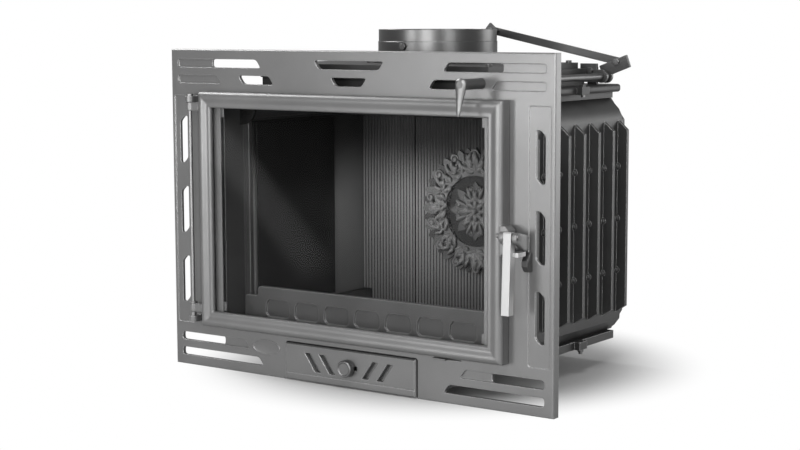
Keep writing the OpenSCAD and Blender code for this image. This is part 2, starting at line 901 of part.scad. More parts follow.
module hinge_ear(z) {
  translate([-hinge_x, 0, z])
    difference() {
      union() {
        translate([-ear_r, -hinge_out_d, 0])
          cube([2 * ear_r, hinge_out_d, ear_t]);
        translate([0, -hinge_out_d, 0])
          cylinder(h = ear_t, r = ear_r, $fn = small_fn);
      }
      translate([0, -hinge_out_d, -over_l])
        cylinder(h = ear_t + 2 * over_l, r = pin_r + fit_gap, $fn = small_fn);
    }
}

module plate_slots() {
  through = plate_t + 2 * over_l;
  both_sides() {
    to_rear(-over_l, through)
      slot_outline(top_in, top_blind, row_top, slot_lean_w, 0);
    to_rear(-over_l, over_l + blind_d)
      slot_outline(top_in, slot_out, row_top, slot_lean_w, 0);
    to_rear(-over_l, through)
      slot_outline(second_in, second_out, row_second, slot_lean_w, slot_lean_w);
    to_rear(-over_l, over_l + blind_d)
      slot_outline(second_blind, slot_out, row_second, slot_lean_w, 0);
    to_rear(-over_l, through)
      slot_outline(low_open, slot_out, row_low, 0, 0);
    to_rear(-over_l, over_l + blind_d)
      slot_outline(low_in, slot_out, row_low, slot_lean_w, 0);
    to_rear(-over_l, through)
      slot_outline(lowest_in, slot_out, row_edge_gap, slot_lean_w, 0);
    for (i = [0:2])
      to_rear(-over_l, through)
        side_slot_outline(panel_z0 + side_slot_end_gap + i * (side_slot_h + side_slot_gap));
  }
  to_rear(-over_l, through)
    slot_outline(-top_mid_l / 2, top_mid_l / 2, row_top, -slot_lean_w, slot_lean_w);
  to_rear(-over_l, through)
    slot_outline(-second_mid_l / 2, second_mid_l / 2, row_second, -slot_lean_w, slot_lean_w);
}

module firebox_front() {
  color([0.16, 0.16, 0.17])
    difference() {
      union() {
        box(
          [-ring_flange_half, plate_t, ring_z0 - web_t / 3],
          [ring_flange_half, plate_t + web_t, body_z1 + web_t]
        );
        box([-ring_half, plate_t, ring_z0], [ring_half, body_y0, body_z1]);
      }
      box([-ring_in, 0, sill_z], [ring_in, body_y0 + over_l, body_z1 - web_t]);
    }
}

module side_panel_outline() {
  x = body_half;
  w = wall_t;
  z0 = body_z0;
  z1 = body_z1;
  s = shoulder_w;
  polygon([
    [x - toe_w - w, z0], [x - toe_w, z0], [x - toe_w / 2, z0 + toe_h / 4],
    [x - toe_w / 19, z0 + 0.6 * toe_h], [x, toe_z], [x, shoulder_z],
    [x - s / 24, z1 - 0.8 * shoulder_h], [x - s / 4, z1 - shoulder_h / 2],
    [x - 0.65 * s, z1 - 0.2 * shoulder_h], [x - s, z1], [x - s - w, z1],
    [x - 0.65 * s - w, z1 - 0.35 * shoulder_h], [x - s / 4 - w, z1 - 0.7 * shoulder_h],
    [x - w, z1 - 0.9 * shoulder_h], [x - w, z0 + 0.9 * toe_h], [x - toe_w / 2 - w, z0 + 0.4 * toe_h]
  ]);
}

module side_panel() {
  pip_mid = (body_z0 + body_z1 - wall_t) / 2;
  pip_step = (shoulder_z - toe_z - 2 * fin_w) / 3.3;
  color([0.15, 0.15, 0.16])
    union() {
      to_rear(body_y0, body_d)
        side_panel_outline();
      box([body_half - wall_t, body_y0, ring_z0], [ring_half, body_y0 + web_t, shoulder_z]);
      for (i = [0:fin_count - 1]) {
        y = body_y0 + fin_margin_l + i * fin_pitch;
        to_rear(y, fin_t)
          polygon([
            [body_half - wall_t / 2, toe_z], [body_half, toe_z],
            [body_half + fin_w, toe_z + 0.65 * fin_w],
            [body_half + fin_w, shoulder_z - 0.9 * fin_w],
            [body_half, shoulder_z], [body_half - wall_t / 2, shoulder_z]
          ]);
        for (row = [-1:1])
          translate([body_half, y, pip_mid + row * pip_step])
            sphere(pip_r, $fn = 16);
      }
    }
}

module side_panel_right() {
  side_panel();
}

module side_panel_left() {
  mirror([1, 0, 0])
    side_panel();
}

module rear_panel() {
  cell_w = 2 * (body_half - shoulder_w) / 5;
  low = toe_z + 2 * web_t;
  cell_h = (shoulder_z - low) / 2;
  color([0.15, 0.15, 0.16])
    difference() {
      to_rear(body_y1, rear_t) {
        polygon([
          [body_half - shoulder_w, body_z1], [body_half, shoulder_z], [body_half, toe_z],
          [body_half - toe_w, body_z0], [toe_w - body_half, body_z0], [-body_half, toe_z],
          [-body_half, shoulder_z], [shoulder_w - body_half, body_z1]
        ]);
      }
      for (i = [-2:2])
        for (k = [0, 1])
          to_rear(body_y1 + rear_t / 2, rear_t)
            translate([i * cell_w, 0])
              round_rect(
                cell_w / 2 - web_t, low + k * cell_h, low + (k + 1) * cell_h - 2 * web_t, web_t
              );
    }
}

module base_plate() {
  rim_x = lip_half - web_t;
  color([0.15, 0.15, 0.16])
    difference() {
      union() {
        to_rear(body_y0, body_d - web_t)
          polygon([
            [-lip_half, base_z], [-rim_x, base_z], [-rim_x, floor_z], [-tunnel_out, floor_z],
            [-tunnel_out, base_z], [-gate_half, base_z], [-gate_half, tunnel_z - web_t],
            [gate_half, tunnel_z - web_t], [gate_half, base_z], [tunnel_out, base_z],
            [tunnel_out, floor_z], [rim_x, floor_z], [rim_x, base_z], [lip_half, base_z],
            [lip_half, body_z0], [tunnel_out, body_z0], [tunnel_out, tunnel_z],
            [-tunnel_out, tunnel_z], [-tunnel_out, body_z0], [-lip_half, body_z0]
          ]);
        box([-tunnel_out, tunnel_y1, base_z], [tunnel_out, tunnel_y1 + web_t, tunnel_z]);
        front_sill();
        both_sides()
          tie_lug(base_z, body_z0);
      }
      box(
        [lap_w - grate_half, grate_y0 + lap_w, base_z],
        [grate_half - lap_w, grate_y1 - lap_w, tunnel_z + over_l]
      );
      box(
        [-grate_half - slide_gap, grate_y0 - slide_gap, tunnel_z - grate_t],
        [grate_half + slide_gap, grate_y1 + slide_gap, tunnel_z + over_l]
      );
      tie_holes(base_z - over_l, body_z0 + over_l);
    }
}

// the upright front edge of the base plate, with the way for the drawer
module front_sill() {
  x = body_half - toe_w - wall_t;
  difference() {
    box([-x, body_y0, base_z], [x, body_y0 + web_t, sill_z]);
    box(
      [-gate_half, body_y0 - over_l, base_z - over_l],
      [gate_half, body_y0 + web_t + over_l, tunnel_z - web_t]
    );
  }
}

// a lug beside the lip or the base for each tie bolt
module tie_lug(z0, z1) {
  for (y = tie_rows)
    box([lip_half - lap_w, y - tie_lug_l / 2, z0], [tie_x + bolt_head_r, y + tie_lug_l / 2, z1]);
}

module tie_holes(z0, z1) {
  for (side = [-1, 1])
    for (y = tie_rows)
      translate([side * tie_x, y, z0])
        cylinder(h = z1 - z0, r = bolt_r + fit_gap, $fn = small_fn);
}

module tie_bolts() {
  color([0.6, 0.6, 0.6])
    for (side = [-1, 1])
      for (y = tie_rows) {
        translate([side * tie_x, y, hood_z])
          hex_head(bolt_head_r, bolt_head_h);
        translate([side * tie_x, y, lip_z - bolt_head_h])
          cylinder(h = lip_t + bolt_head_h, r = bolt_r, $fn = small_fn);
        translate([side * tie_x, y, base_z - bolt_head_h])
          hex_head(bolt_head_r, bolt_head_h);
        translate([side * tie_x, y, base_z - 2 * bolt_head_h])
          cylinder(h = base_edge_h + 2 * bolt_head_h, r = bolt_r, $fn = small_fn);
      }
}

module top_plate() {
  lip_y0 = body_y0 - 2 * lap_w - web_t;
  color([0.15, 0.15, 0.16])
    difference() {
      union() {
        box([-neck_half, body_y0 - 2 * lap_w, body_z1], [neck_half, rear_y - lap_w, lip_z]);
        to_rear(lip_y0, rear_y - lip_y0)
          round_rect(lip_half, lip_z, hood_z, 0.4 * lip_t);
        box(
          [hood_set_d - hood_half, hood_y0 + hood_set_d, hood_z],
          [hood_half - hood_set_d, hood_y1 - hood_set_d, hood_flange_z]
        );
        box([-hood_half, hood_y0, hood_flange_z], [hood_half, hood_y1, cover_z]);
        both_sides()
          tie_lug(lip_z, hood_z);
        box(
          [bracket_bolt_x - 1.6 * bolt_head_r, bracket_y + bracket_t, hood_z - lip_t / 2],
          [
            bracket_bolt_x + 1.6 * bolt_head_r, bracket_y + 2 * bracket_t,
            bracket_bolt_z + bolt_head_r
          ]
        );
      }
      box(
        [hood_wall_t - hood_half, hood_y0 + hood_wall_t, body_z1 - over_l],
        [hood_half - hood_wall_t, cover_y1 - lap_w - web_t, cover_z + over_l]
      );
      translate([0, flue_y, body_z1 - over_l])
        cylinder(h = cover_z - body_z1 + 2 * over_l, r = flue_r - flue_wall_t, $fn = round_fn);
      tie_holes(lip_z - over_l, hood_z + over_l);
      rod_y(bracket_bolt_x, bracket_bolt_z, bracket_y, 3 * bracket_t, bolt_r + fit_gap);
    }
}

module hood_cover() {
  color([0.17, 0.17, 0.18])
    difference() {
      union() {
        box(
          [cover_in_w - hood_half, hood_y0 + web_t, cover_z],
          [hood_half - cover_in_w, cover_y1, collar_z]
        );
        translate([0, flue_y, cover_z])
          cylinder(h = cover_t, r = flue_r + cover_round_w, $fn = round_fn);
      }
      translate([0, flue_y, cover_z - over_l])
        cylinder(h = cover_t + 2 * over_l, r = flue_r - flue_wall_t, $fn = round_fn);
      collar_bolt_places(collar_z - web_t)
        cylinder(h = web_t + over_l, r = bolt_r + fit_gap, $fn = small_fn);
      cover_bolt_places(cover_z - over_l)
        cylinder(h = cover_t + 2 * over_l, r = bolt_r + fit_gap, $fn = small_fn);
    }
}

module collar_bolt_places(z) {
  out = flue_r + collar_bolt_gap;
  for (a = [45:90:315])
    translate([out * cos(a), flue_y + out * sin(a), z])
      children();
}

module cover_bolt_places(z) {
  for (side = [-1, 1])
    for (y = [hood_y0 + hood_wall_t + web_t, cover_y1 - hood_wall_t])
      translate([side * (hood_half - 2 * web_t), y, z])
        children();
}

module flue_collar() {
  color([0.14, 0.14, 0.15])
    difference() {
      union() {
        translate([0, flue_y, collar_z])
          cylinder(h = flue_h, r = flue_r, $fn = 96);
        translate([0, flue_y, collar_z])
          cylinder(h = flue_h - spigot_h, r = flue_r + collar_step_t, $fn = 96);
        translate([0, flue_y, collar_z])
          cylinder(h = collar_flange_t, r = flue_r + web_t, $fn = 96);
        collar_bolt_places(collar_z)
          cylinder(h = collar_flange_t, r = collar_ear_r, $fn = small_fn);
      }
      translate([0, flue_y, collar_z - over_l])
        cylinder(h = flue_h + 2 * over_l, r = flue_r - flue_wall_t, $fn = 96);
      collar_bolt_places(collar_z - over_l)
        cylinder(h = collar_flange_t + 2 * over_l, r = bolt_r + fit_gap, $fn = small_fn);
      rod_y(
        0, flap_z, flue_y - flue_r - flue_wall_t, 2 * (flue_r + flue_wall_t), rod_r + pivot_gap, round_fn
      );
    }
}

module collar_bolts() {
  color([0.55, 0.55, 0.56]) {
    collar_bolt_places(collar_z + collar_flange_t)
      hex_head(bolt_head_r, bolt_head_h);
    collar_bolt_places(collar_z - 0.9 * web_t)
      cylinder(h = collar_flange_t + 0.9 * web_t, r = bolt_r, $fn = small_fn);
  }
}

module cover_bolts() {
  color([0.55, 0.55, 0.56]) {
    cover_bolt_places(collar_z)
      hex_head(bolt_head_r, bolt_head_h);
    cover_bolt_places(cover_z)
      cylinder(h = cover_t, r = bolt_r, $fn = small_fn);
  }
}

module levelling_feet() {
  color([0.5, 0.5, 0.5])
    for (side = [-1, 1])
      translate([side * feet_x, feet_y, 0]) {
        cylinder(h = foot_t, r = foot_r, $fn = small_fn);
        cylinder(h = floor_z, r = stud_r, $fn = small_fn);
      }
}

module foot_nuts() {
  color([0.6, 0.6, 0.6])
    for (side = [-1, 1])
      translate([side * feet_x, feet_y, floor_z - nut_h])
        difference() {
          hex_head(1.8 * stud_r, nut_h);
          translate([0, 0, -over_l])
            cylinder(h = nut_h + 2 * over_l, r = stud_r + fit_gap, $fn = small_fn);
        }
}

module grate() {
  bar = 2 * grate_half / (2 * grate_bars + 1);
  half_l = (grate_y1 - grate_y0 - bar) / 2;
  color([0.2, 0.19, 0.19])
    difference() {
      box([-grate_half, grate_y0, tunnel_z - grate_t], [grate_half, grate_y1, tunnel_z]);
      for (i = [0:grate_bars - 1])
        for (row = [0, 1])
          box(
            [(2 * i + 1) * bar - grate_half, grate_y0 + bar + row * half_l, tunnel_z - grate_t - over_l],
            [(2 * i + 2) * bar - grate_half, grate_y0 + (row + 1) * half_l, tunnel_z + over_l]
          );
    }
}

module baffle() {
  y0 = body_y0 + baffle_front_gap;
  y1 = liner_y + liner_t + fit_gap;
  z = liner_z1;
  front_z = z + baffle_rise_h;
  color([0.2, 0.19, 0.18])
    to_right(-neck_half, 2 * neck_half)
      polygon([
        [y0, front_z], [liner_y, z], [y1, z], [y1, z - lap_w], [y1 + baffle_t, z - lap_w],
        [y1 + baffle_t, z + baffle_t], [liner_y, z + baffle_t], [y0 - baffle_t / 4, front_z + baffle_t]
      ]);
}

// one fluted upright plate of the rear liner, from x0 to x1
module fluted_plate(x0, x1) {
  count = floor((x1 - x0) / flute_pitch_w);
  first = x0 + ((x1 - x0) - (count - 1) * flute_pitch_w) / 2;
  difference() {
    box([x0, liner_y, tunnel_z], [x1, liner_y + liner_t, liner_z1]);
    for (i = [0:count - 1])
      translate([first + i * flute_pitch_w, liner_y - flute_r / 2, tunnel_z - over_l])
        cylinder(h = liner_z1 - tunnel_z + 2 * over_l, r = flute_r, $fn = 16);
  }
}

module rear_liner() {
  color([0.24, 0.23, 0.22])
    fluted_plate(-liner_mid_w / 2, liner_mid_w / 2);
}

module rear_liner_right() {
  color([0.24, 0.23, 0.22])
    difference() {
      fluted_plate(liner_mid_w / 2 + liner_joint_gap, liner_edge - fit_gap);
      box(
        [body_half - toe_w - wall_t, liner_y - over_l, tunnel_z - over_l],
        [body_half, liner_y + liner_t + over_l, toe_z]
      );
    }
}

module rear_liner_left() {
  mirror([1, 0, 0])
    rear_liner_right();
}

module side_liner_right() {
  color([0.22, 0.21, 0.2])
    difference() {
      box(
        [liner_edge, body_y0 + 2 * lap_w, toe_z],
        [liner_edge + side_liner_t, liner_y + liner_t, shoulder_z]
      );
      box(
        [liner_edge - over_l, body_y0 + side_liner_front_l, body_z0],
        [liner_edge + 0.3 * side_liner_t, liner_y + liner_t + over_l, body_z1]
      );
    }
}

module side_liner_left() {
  mirror([1, 0, 0])
    side_liner_right();
}

// an oval cast ornament: bead rim, two wreaths of leaves and a rosette in the middle
module oval_ornament() {
  leaves = 20;
  color([0.27, 0.26, 0.25])
    translate([0, liner_y, ornament_z]) {
      oval_disc(0.41, oval_t / 3);
      difference() {
        oval_disc(0.34, 0.8 * oval_t);
        oval_disc(0.28, oval_t);
      }
      oval_disc(0.05, oval_t);
      for (i = [0:leaves - 1]) {
        oval_leaf(360 * i / leaves, 0.4, 0.19, 0.09, 0.7 * oval_t);
        oval_leaf(360 * (i + 0.5) / leaves, 0.44, 0.11, 0.06, oval_t / 2);
      }
      for (i = [0:7])
        oval_leaf(45 * i, 0.13, 0.2, 0.08, 0.7 * oval_t);
    }
}

// an oval slab in front of the rear plate, its half size as a share of the ornament's size
module oval_disc(size_share, d) {
  to_rear(-d, d)
    scale([oval_w, oval_h])
      circle(size_share, $fn = round_fn);
}

// a pointed leaf between two arcs that points outwards, at an angle round the oval
module oval_leaf(angle, at_share, long_share, wide_share, d) {
  a = oval_w * long_share / 2;
  b = oval_w * wide_share / 2;
  r = (a * a + b * b) / (2 * b);
  to_rear(-d, d)
    translate([oval_w * at_share * cos(angle), oval_h * at_share * sin(angle)])
      rotate(angle)
        intersection() {
          translate([0, r - b])
            circle(r, $fn = round_fn);
          translate([0, b - r])
            circle(r, $fn = round_fn);
        }
}

module drawer_housing() {
  y0 = rim_d + slide_gap;
  y1 = pan_y1 + 4 * web_t;
  inner = gate_half - housing_t;
  color([0.4, 0.4, 0.41])
    difference() {
      box([-gate_half, y0, 0], [gate_half, y1, floor_z]);
      box([-inner, y0 - over_l, housing_t], [inner, y1 - housing_t, floor_z + over_l]);
    }
}

module damper_bracket() {
  color([0.42, 0.42, 0.43])
    difference() {
      to_rear(bracket_y, bracket_t) {
        translate([rod_x - 0.8 * bracket_r - bracket_w, rod_z - bracket_foot_h])
          square([bracket_w, bracket_w]);
        translate([rod_x, rod_z])
          circle(bracket_r, $fn = round_fn);
        translate([rod_x - 1.2 * bracket_r, rod_z - bracket_foot_h])
          square([1.2 * bracket_r, bracket_foot_h + bracket_r]);
      }
      rod_y(rod_x, rod_z, bracket_y - over_l, bracket_t + 2 * over_l, rod_r + pivot_gap, round_fn);
      rod_y(bracket_bolt_x, bracket_bolt_z, bracket_y - over_l, bracket_t + 2 * over_l, bolt_r + fit_gap);
    }
}

module bracket_bolt() {
  color([0.6, 0.6, 0.6]) {
    translate([bracket_bolt_x, bracket_y, bracket_bolt_z])
      rotate([90, 0, 0])
        hex_head(bolt_head_r, bolt_head_h);
    rod_y(bracket_bolt_x, bracket_bolt_z, bracket_y, 2 * bracket_t, bolt_r);
  }
}

module door_catch() {
  z1 = lug_z0 + lap_w;
  z0 = z1 - catch_h;
  color([0.45, 0.45, 0.46])
    to_right(outer_ear_x, catch_w)
      polygon([
        [0, z0], [0, z1], [-catch_d / 3, z1], [-catch_d, z1 - 0.4 * catch_h],
        [-catch_d, z0 + 0.3 * catch_h], [-catch_d / 2, z0]
      ]);
}

module hinge_pin() {
  color([0.5, 0.5, 0.51])
    translate([-hinge_x, -hinge_out_d, 0]) {
      translate([0, 0, ear_z0])
        cylinder(h = pin_top - ear_z0, r = pin_r, $fn = small_fn);
      translate([0, 0, pin_top])
        cylinder(h = pin_head_h, r = knuckle_r, $fn = small_fn);
      translate([0, 0, ear_z0 + ear_t])
        cylinder(h = spacer_h, r = 0.8 * knuckle_r, $fn = small_fn);
      translate([0, 0, knuckle_z0 + knuckle_h + knuckle_gap])
        cylinder(h = 0.8 * pin_head_h, r = 1.1 * knuckle_r, $fn = small_fn);
    }
}

module slider_guides() {
  y = plate_t + slider_t + slide_gap;
  left_x = tab_x0 - slider_end_l + slider_travel_l - web_t;
  right_x = tab_x1 + slider_travel_l + 2 * guide_w;
  color([0.4, 0.4, 0.4])
    for (x = [left_x, right_x])
      difference() {
        box(
          [x, plate_t, slider_z - web_t / 2],
          [x + guide_w, y + slider_t, slider_z + slider_h + web_t / 3]
        );
        box(
          [x - over_l, plate_t - over_l, slider_z - slide_gap],
          [x + guide_w + over_l, y, slider_z + slider_h + slide_gap]
        );
      }
}

// the door and its lever

module frame_section() {
  y0 = frame_y0;
  deep = y0 + frame_hollow_d;
  polygon([
    [y0 + frame_bevel_w, 0], [y0, 0.75 * frame_bevel_w], [y0, 1.75 * frame_bevel_w],
    [deep, rebate_in_w - lap_w], [deep, rebate_in_w - lap_w / 2],
    [y0 + frame_hollow_d / 3, rebate_in_w + lap_w / 4], [y0 + frame_hollow_d / 3, frame_w - frame_bead_w],
    [deep, frame_w], [seal_y, frame_w], [seal_y, rebate_in_w], [frame_y1, rebate_in_w],
    [frame_y1, rope_in_w + rope_w], [frame_y1 - rope_groove_d, rope_in_w + rope_w],
    [frame_y1 - rope_groove_d, rope_in_w], [frame_y1, rope_in_w], [frame_y1, 0]
  ]);
}

module door_frame() {
  color([0.5, 0.51, 0.52])
    difference() {
      union() {
        mitred_ring(
          door_half, door_z0, door_z1, frame_w + over_l, frame_y0 - over_l, frame_y1 + over_l
        )
          frame_section();
        door_knuckle(knuckle_z0);
        door_knuckle(knuckle_z1);
        handle_lug();
      }
      clip_places()
        box(
          [door_half - rebate_in_w - over_l, clip_y1 - clip_t, -clip_h / 2 - slide_gap],
          [clip_x1 + clip_t / 4, frame_y1 + over_l, clip_h / 2 + slide_gap]
        );
      clip_screw_places()
        rotate([90, 0, 0])
          cylinder(h = 2 * glass_t + over_l, r = screw_r + fit_gap, $fn = small_fn);
    }
}

module door_knuckle(z) {
  translate([-hinge_x, -hinge_out_d, z])
    difference() {
      union() {
        cylinder(h = knuckle_h, r = knuckle_r, $fn = small_fn);
        translate([0, -0.6 * knuckle_r, 0])
          cube([hinge_gap + lap_w / 4, 1.2 * knuckle_r, knuckle_h]);
      }
      translate([0, 0, -over_l])
        cylinder(h = knuckle_h + 2 * over_l, r = pin_r + pivot_gap, $fn = small_fn);
    }
}

// the cast lug beside the door frame, with two ears that hold the lever's pin
module handle_lug() {
  x0 = door_half - lap_w / 4;
  difference() {
    union() {
      to_rear(lug_y0, door_proud_d + lug_proud_d - lug_back_gap)
        polygon([
          [x0, lug_z0], [lug_x1, lug_z0 + lap_w], [lug_x1, lug_z1 - web_t],
          [lug_x1 - web_t, lug_z1], [x0, lug_z1]
        ]);
      to_right(lug_x1 - ear_plate_t, ear_plate_t)
        lug_ear_outline();
      to_right(outer_ear_x, ear_plate_t)
        lug_ear_outline();
      box(
        [door_half, -lug_back_gap - ear_plate_t, lever_z - ear_drop_h],
        [outer_ear_x1, -lug_back_gap, lever_z]
      );
    }
    translate([door_half, -lever_out_d, lever_z])
      rotate([0, 90, 0])
        cylinder(h = outer_ear_x1 - door_half + over_l, r = lever_pin_r + fit_gap, $fn = small_fn);
  }
}

module lug_ear_outline() {
  r = 2 * lever_pin_r;
  z = lever_z;
  polygon([
    [-lug_back_gap, z - ear_drop_h], [-lug_back_gap, z], [-lever_out_d, z + r],
    [-lever_out_d - 0.8 * r, z + r / 2],
    [-lever_out_d - r, z - r / 2], [-lever_out_d - 0.7 * r, z - 1.2 * r],
    [-lug_back_gap - 1.15 * ear_plate_t, z - ear_drop_h]
  ]);
}

module handle_pin() {
  x0 = door_half + fit_gap;
  color([0.62, 0.62, 0.63])
    translate([0, -lever_out_d, lever_z])
      rotate([0, 90, 0]) {
        translate([0, 0, x0])
          cylinder(h = outer_ear_x1 - x0, r = lever_pin_r, $fn = small_fn);
        translate([0, 0, outer_ear_x1])
          cylinder(h = lever_pin_r / 2, r = 1.3 * lever_pin_r, $fn = small_fn);
      }
}

module door_glass() {
  color([0.35, 0.4, 0.42, 0.35])
    to_rear(glass_y, glass_t)
      round_rect(glass_half, door_mid - glass_h / 2, door_mid + glass_h / 2, glass_t / 2);
}

module glass_seal() {
  color([0.7, 0.7, 0.66])
    mitred_ring(
      glass_half, door_mid - glass_h / 2, door_mid + glass_h / 2, frame_w - rebate_in_w, seal_y, glass_y
    )
      translate([seal_y, glass_seal_t / 2])
        square([glass_seal_t, frame_w - rebate_in_w - 1.5 * glass_seal_t]);
}

module door_seal() {
  y0 = frame_y1 - rope_groove_d;
  color([0.66, 0.65, 0.6])
    mitred_ring(door_half, door_z0, door_z1, frame_w, y0 - over_l, 0)
      translate([y0, rope_in_w + fit_gap])
        square([rope_groove_d + rope_proud_d, rope_w - 2 * fit_gap]);
}

module glass_strips() {
  x1 = open_half + 1.5 * strip_t;
  color([0.3, 0.3, 0.3])
    both_sides()
      box(
        [x1 - strip_w, strip_y, door_mid - glass_h / 2 + lap_w],
        [x1, clip_y, door_mid + glass_h / 2 - lap_w]
      );
}

module clip_places() {
  both_sides()
    for (z = [door_z0 + rebate_in_w + clip_h, door_z1 - rebate_in_w - clip_h])
      translate([0, 0, z])
        children();
}

module clip_screw_places() {
  clip_places()
    translate([screw_x, clip_y1, 0])
      children();
}

module glass_clips() {
  x = door_half - rebate_in_w;
  color([0.45, 0.45, 0.45])
    difference() {
      clip_places()
        translate([0, 0, -clip_h / 2])
          linear_extrude(clip_h)
            polygon([
              [clip_x1 - clip_w, clip_y], [open_half + lap_w, clip_y],
              [x - clip_t / 2, clip_y1 - clip_t], [clip_x1, clip_y1 - clip_t],
              [clip_x1, clip_y1], [x - 1.5 * clip_t, clip_y1],
              [open_half + clip_t, clip_y + clip_t], [clip_x1 - clip_w, clip_y + clip_t]
            ]);
      clip_screw_places()
        rotate([90, 0, 0])
          translate([0, 0, -over_l])
            cylinder(h = clip_t + 2 * over_l, r = screw_head_r + fit_gap, $fn = small_fn);
    }
}

module clip_screws() {
  color([0.6, 0.6, 0.6])
    clip_screw_places()
      rotate([90, 0, 0]) {
        cylinder(h = clip_t, r = screw_head_r, $fn = small_fn);
        cylinder(h = 2 * glass_t, r = screw_r, $fn = small_fn);
      }
}

module door_handle() {
  a = lever_w / 2;
  y = -lever_out_d;
  foot = y - lever_swing_d;
  nose_z = lug_z0 + nose_gap;
  color([0.72, 0.72, 0.73])
    difference() {
      union() {
        to_right(lever_x0, lever_w)
          polygon([
            [y + 0.8 * a, lever_z + 0.7 * a], [y + a / 2, lever_z + a], [y - 0.8 * a, lever_z + a],
            [y - a, lever_z + 0.7 * a], [foot - a, lever_z - lever_l], [foot + a, lever_z - lever_l]
          ]);
        box(
          [lever_x0 + lever_gap, y, nose_z],
          [outer_ear_x1, -catch_d - nose_gap, nose_z + nose_h]
        );
      }
      translate([lever_x0 - over_l, y, lever_z])
        rotate([0, 90, 0])
          cylinder(h = lever_w + 2 * over_l, r = lever_pin_r + pivot_gap, $fn = small_fn);
    }
}

// the damper and its linkage

module damper_handle() {
  y0 = hub_l / 4 - handle_reach_l;
  w = handle_w / 2;
  color([0.72, 0.72, 0.73])
    difference() {
      union() {
        to_rear(y0, handle_t)
          polygon([
            [rod_x - w, rod_z], [rod_x + w, rod_z], [rod_x + 0.75 * w, rod_z - 0.75 * handle_l],
            [rod_x + 0.45 * w, rod_z - handle_l], [rod_x - 0.45 * w, rod_z - handle_l],
            [rod_x - 0.75 * w, rod_z - 0.75 * handle_l]
          ]);
        rod_y(rod_x, rod_z, -handle_reach_l, hub_l, shaft_r + hub_step_t, round_fn);
      }
      rod_y(rod_x, rod_z, y0, hub_l, rod_r + fit_gap, round_fn);
    }
}

module damper_rod() {
  y0 = hub_l / 4 - handle_reach_l;
  shaft_y = hub_l - handle_reach_l;
  color([0.68, 0.68, 0.69])
    union() {
      rod_y(rod_x, rod_z, y0, rod_y1 - y0, rod_r, round_fn);
      rod_y(rod_x, rod_z, shaft_y, rim_d - shaft_y, shaft_r, round_fn);
    }
}

module damper_crank() {
  color([0.4, 0.4, 0.41])
    difference() {
      to_rear(crank_y, crank_t) {
        translate([rod_x, rod_z])
          circle(crank_hub_r, $fn = small_fn);
        translate([rod_x, rod_z])
          rotate(crank_tilt)
            translate([-rod_r, -0.05 * crank_w])
              square([crank_l, crank_w]);
      }
      rod_y(rod_x, rod_z, crank_y - over_l, crank_t + 2 * over_l, rod_r + fit_gap, round_fn);
      rod_y(
        rod_x + crank_reach_w, rod_z + crank_reach_h,
        crank_y - over_l, crank_t + 2 * over_l, bolt_r + fit_gap
      );
    }
}

// a pivot bolt through crank and link, with a head in front and a nut behind
module pivot_bolt(x, z) {
  nut_y = link_y + link_t + link_gap;
  translate([x, crank_y, z])
    rotate([90, 0, 0])
      hex_head(1.1 * bolt_head_r, bolt_head_h);
  rod_y(x, z, crank_y, nut_y - crank_y, bolt_r);
  translate([x, nut_y + bolt_head_h, z])
    rotate([90, 0, 0])
      hex_head(1.1 * bolt_head_r, bolt_head_h);
}

module crank_bolt() {
  color([0.7, 0.7, 0.7])
    pivot_bolt(rod_x + crank_reach_w, rod_z + crank_reach_h);
}

module flap_bolt() {
  color([0.7, 0.7, 0.7])
    pivot_bolt(crank_reach_w, flap_z + crank_reach_h);
}

module damper_link() {
  color([0.38, 0.38, 0.39])
    translate([rod_x + crank_reach_w, 0, rod_z + crank_reach_h])
      difference() {
        to_rear(link_y, link_t)
          rotate(link_tilt) {
            translate([0, -link_w / 2])
              square([link_l, link_w]);
            circle(link_w / 2, $fn = small_fn);
            translate([link_l, 0])
              circle(link_w / 2, $fn = small_fn);
          }
        rod_y(0, 0, link_y - over_l, link_t + 2 * over_l, bolt_r + pivot_gap);
        rod_y(-rod_x, flap_z - rod_z, link_y - over_l, link_t + 2 * over_l, bolt_r + open_gap);
      }
}

module damper_flap() {
  r = flue_r - flue_wall_t - flap_gap;
  color([0.3, 0.3, 0.3])
    difference() {
      union() {
        translate([0, flue_y, flap_z - flap_t / 2])
          cylinder(h = flap_t, r = r, $fn = 96);
        rod_y(0, flap_z, flue_y - 0.9 * r, 1.8 * r, rod_r + flap_boss_t, round_fn);
      }
      rod_y(0, flap_z, flue_y - flue_r, 2 * flue_r, rod_r + fit_gap, round_fn);
    }
}

module flap_shaft() {
  y0 = flue_y - flue_r - flue_wall_t;
  color([0.5, 0.5, 0.5])
    rod_y(0, flap_z, y0, rod_y1 - y0, rod_r, round_fn);
}

module flap_crank() {
  arm = sqrt(pow(crank_reach_w, 2) + pow(crank_reach_h, 2));
  color([0.4, 0.4, 0.41])
    difference() {
      to_rear(crank_y, crank_t) {
        translate([0, flap_z])
          circle(crank_hub_r, $fn = small_fn);
        translate([0, flap_z])
          rotate(flap_tilt)
            translate([-0.8 * rod_r, -crank_w / 2])
              square([arm + 4 * bolt_r, crank_w]);
      }
      rod_y(0, flap_z, crank_y - over_l, crank_t + 2 * over_l, rod_r + fit_gap, round_fn);
      rod_y(
        crank_reach_w, flap_z + crank_reach_h,
        crank_y - over_l, crank_t + 2 * over_l, bolt_r + fit_gap
      );
    }
}

// the ash drawer and its air shutter

// outline of the four leaning air slots in the drawer front
module air_slots(x_shift = 0) {
  z = shutter_z - air_h / 2;
  for (side = [-1, 1])
    for (x = [air_inner_gap, air_inner_gap + air_pitch_w])
      translate([x_shift, 0])
        polygon([
          [side * x, z], [side * (x + air_w), z],
          [side * (x + air_w + air_lean_w), z + air_h], [side * (x + air_lean_w), z + air_h]
        ]);
}

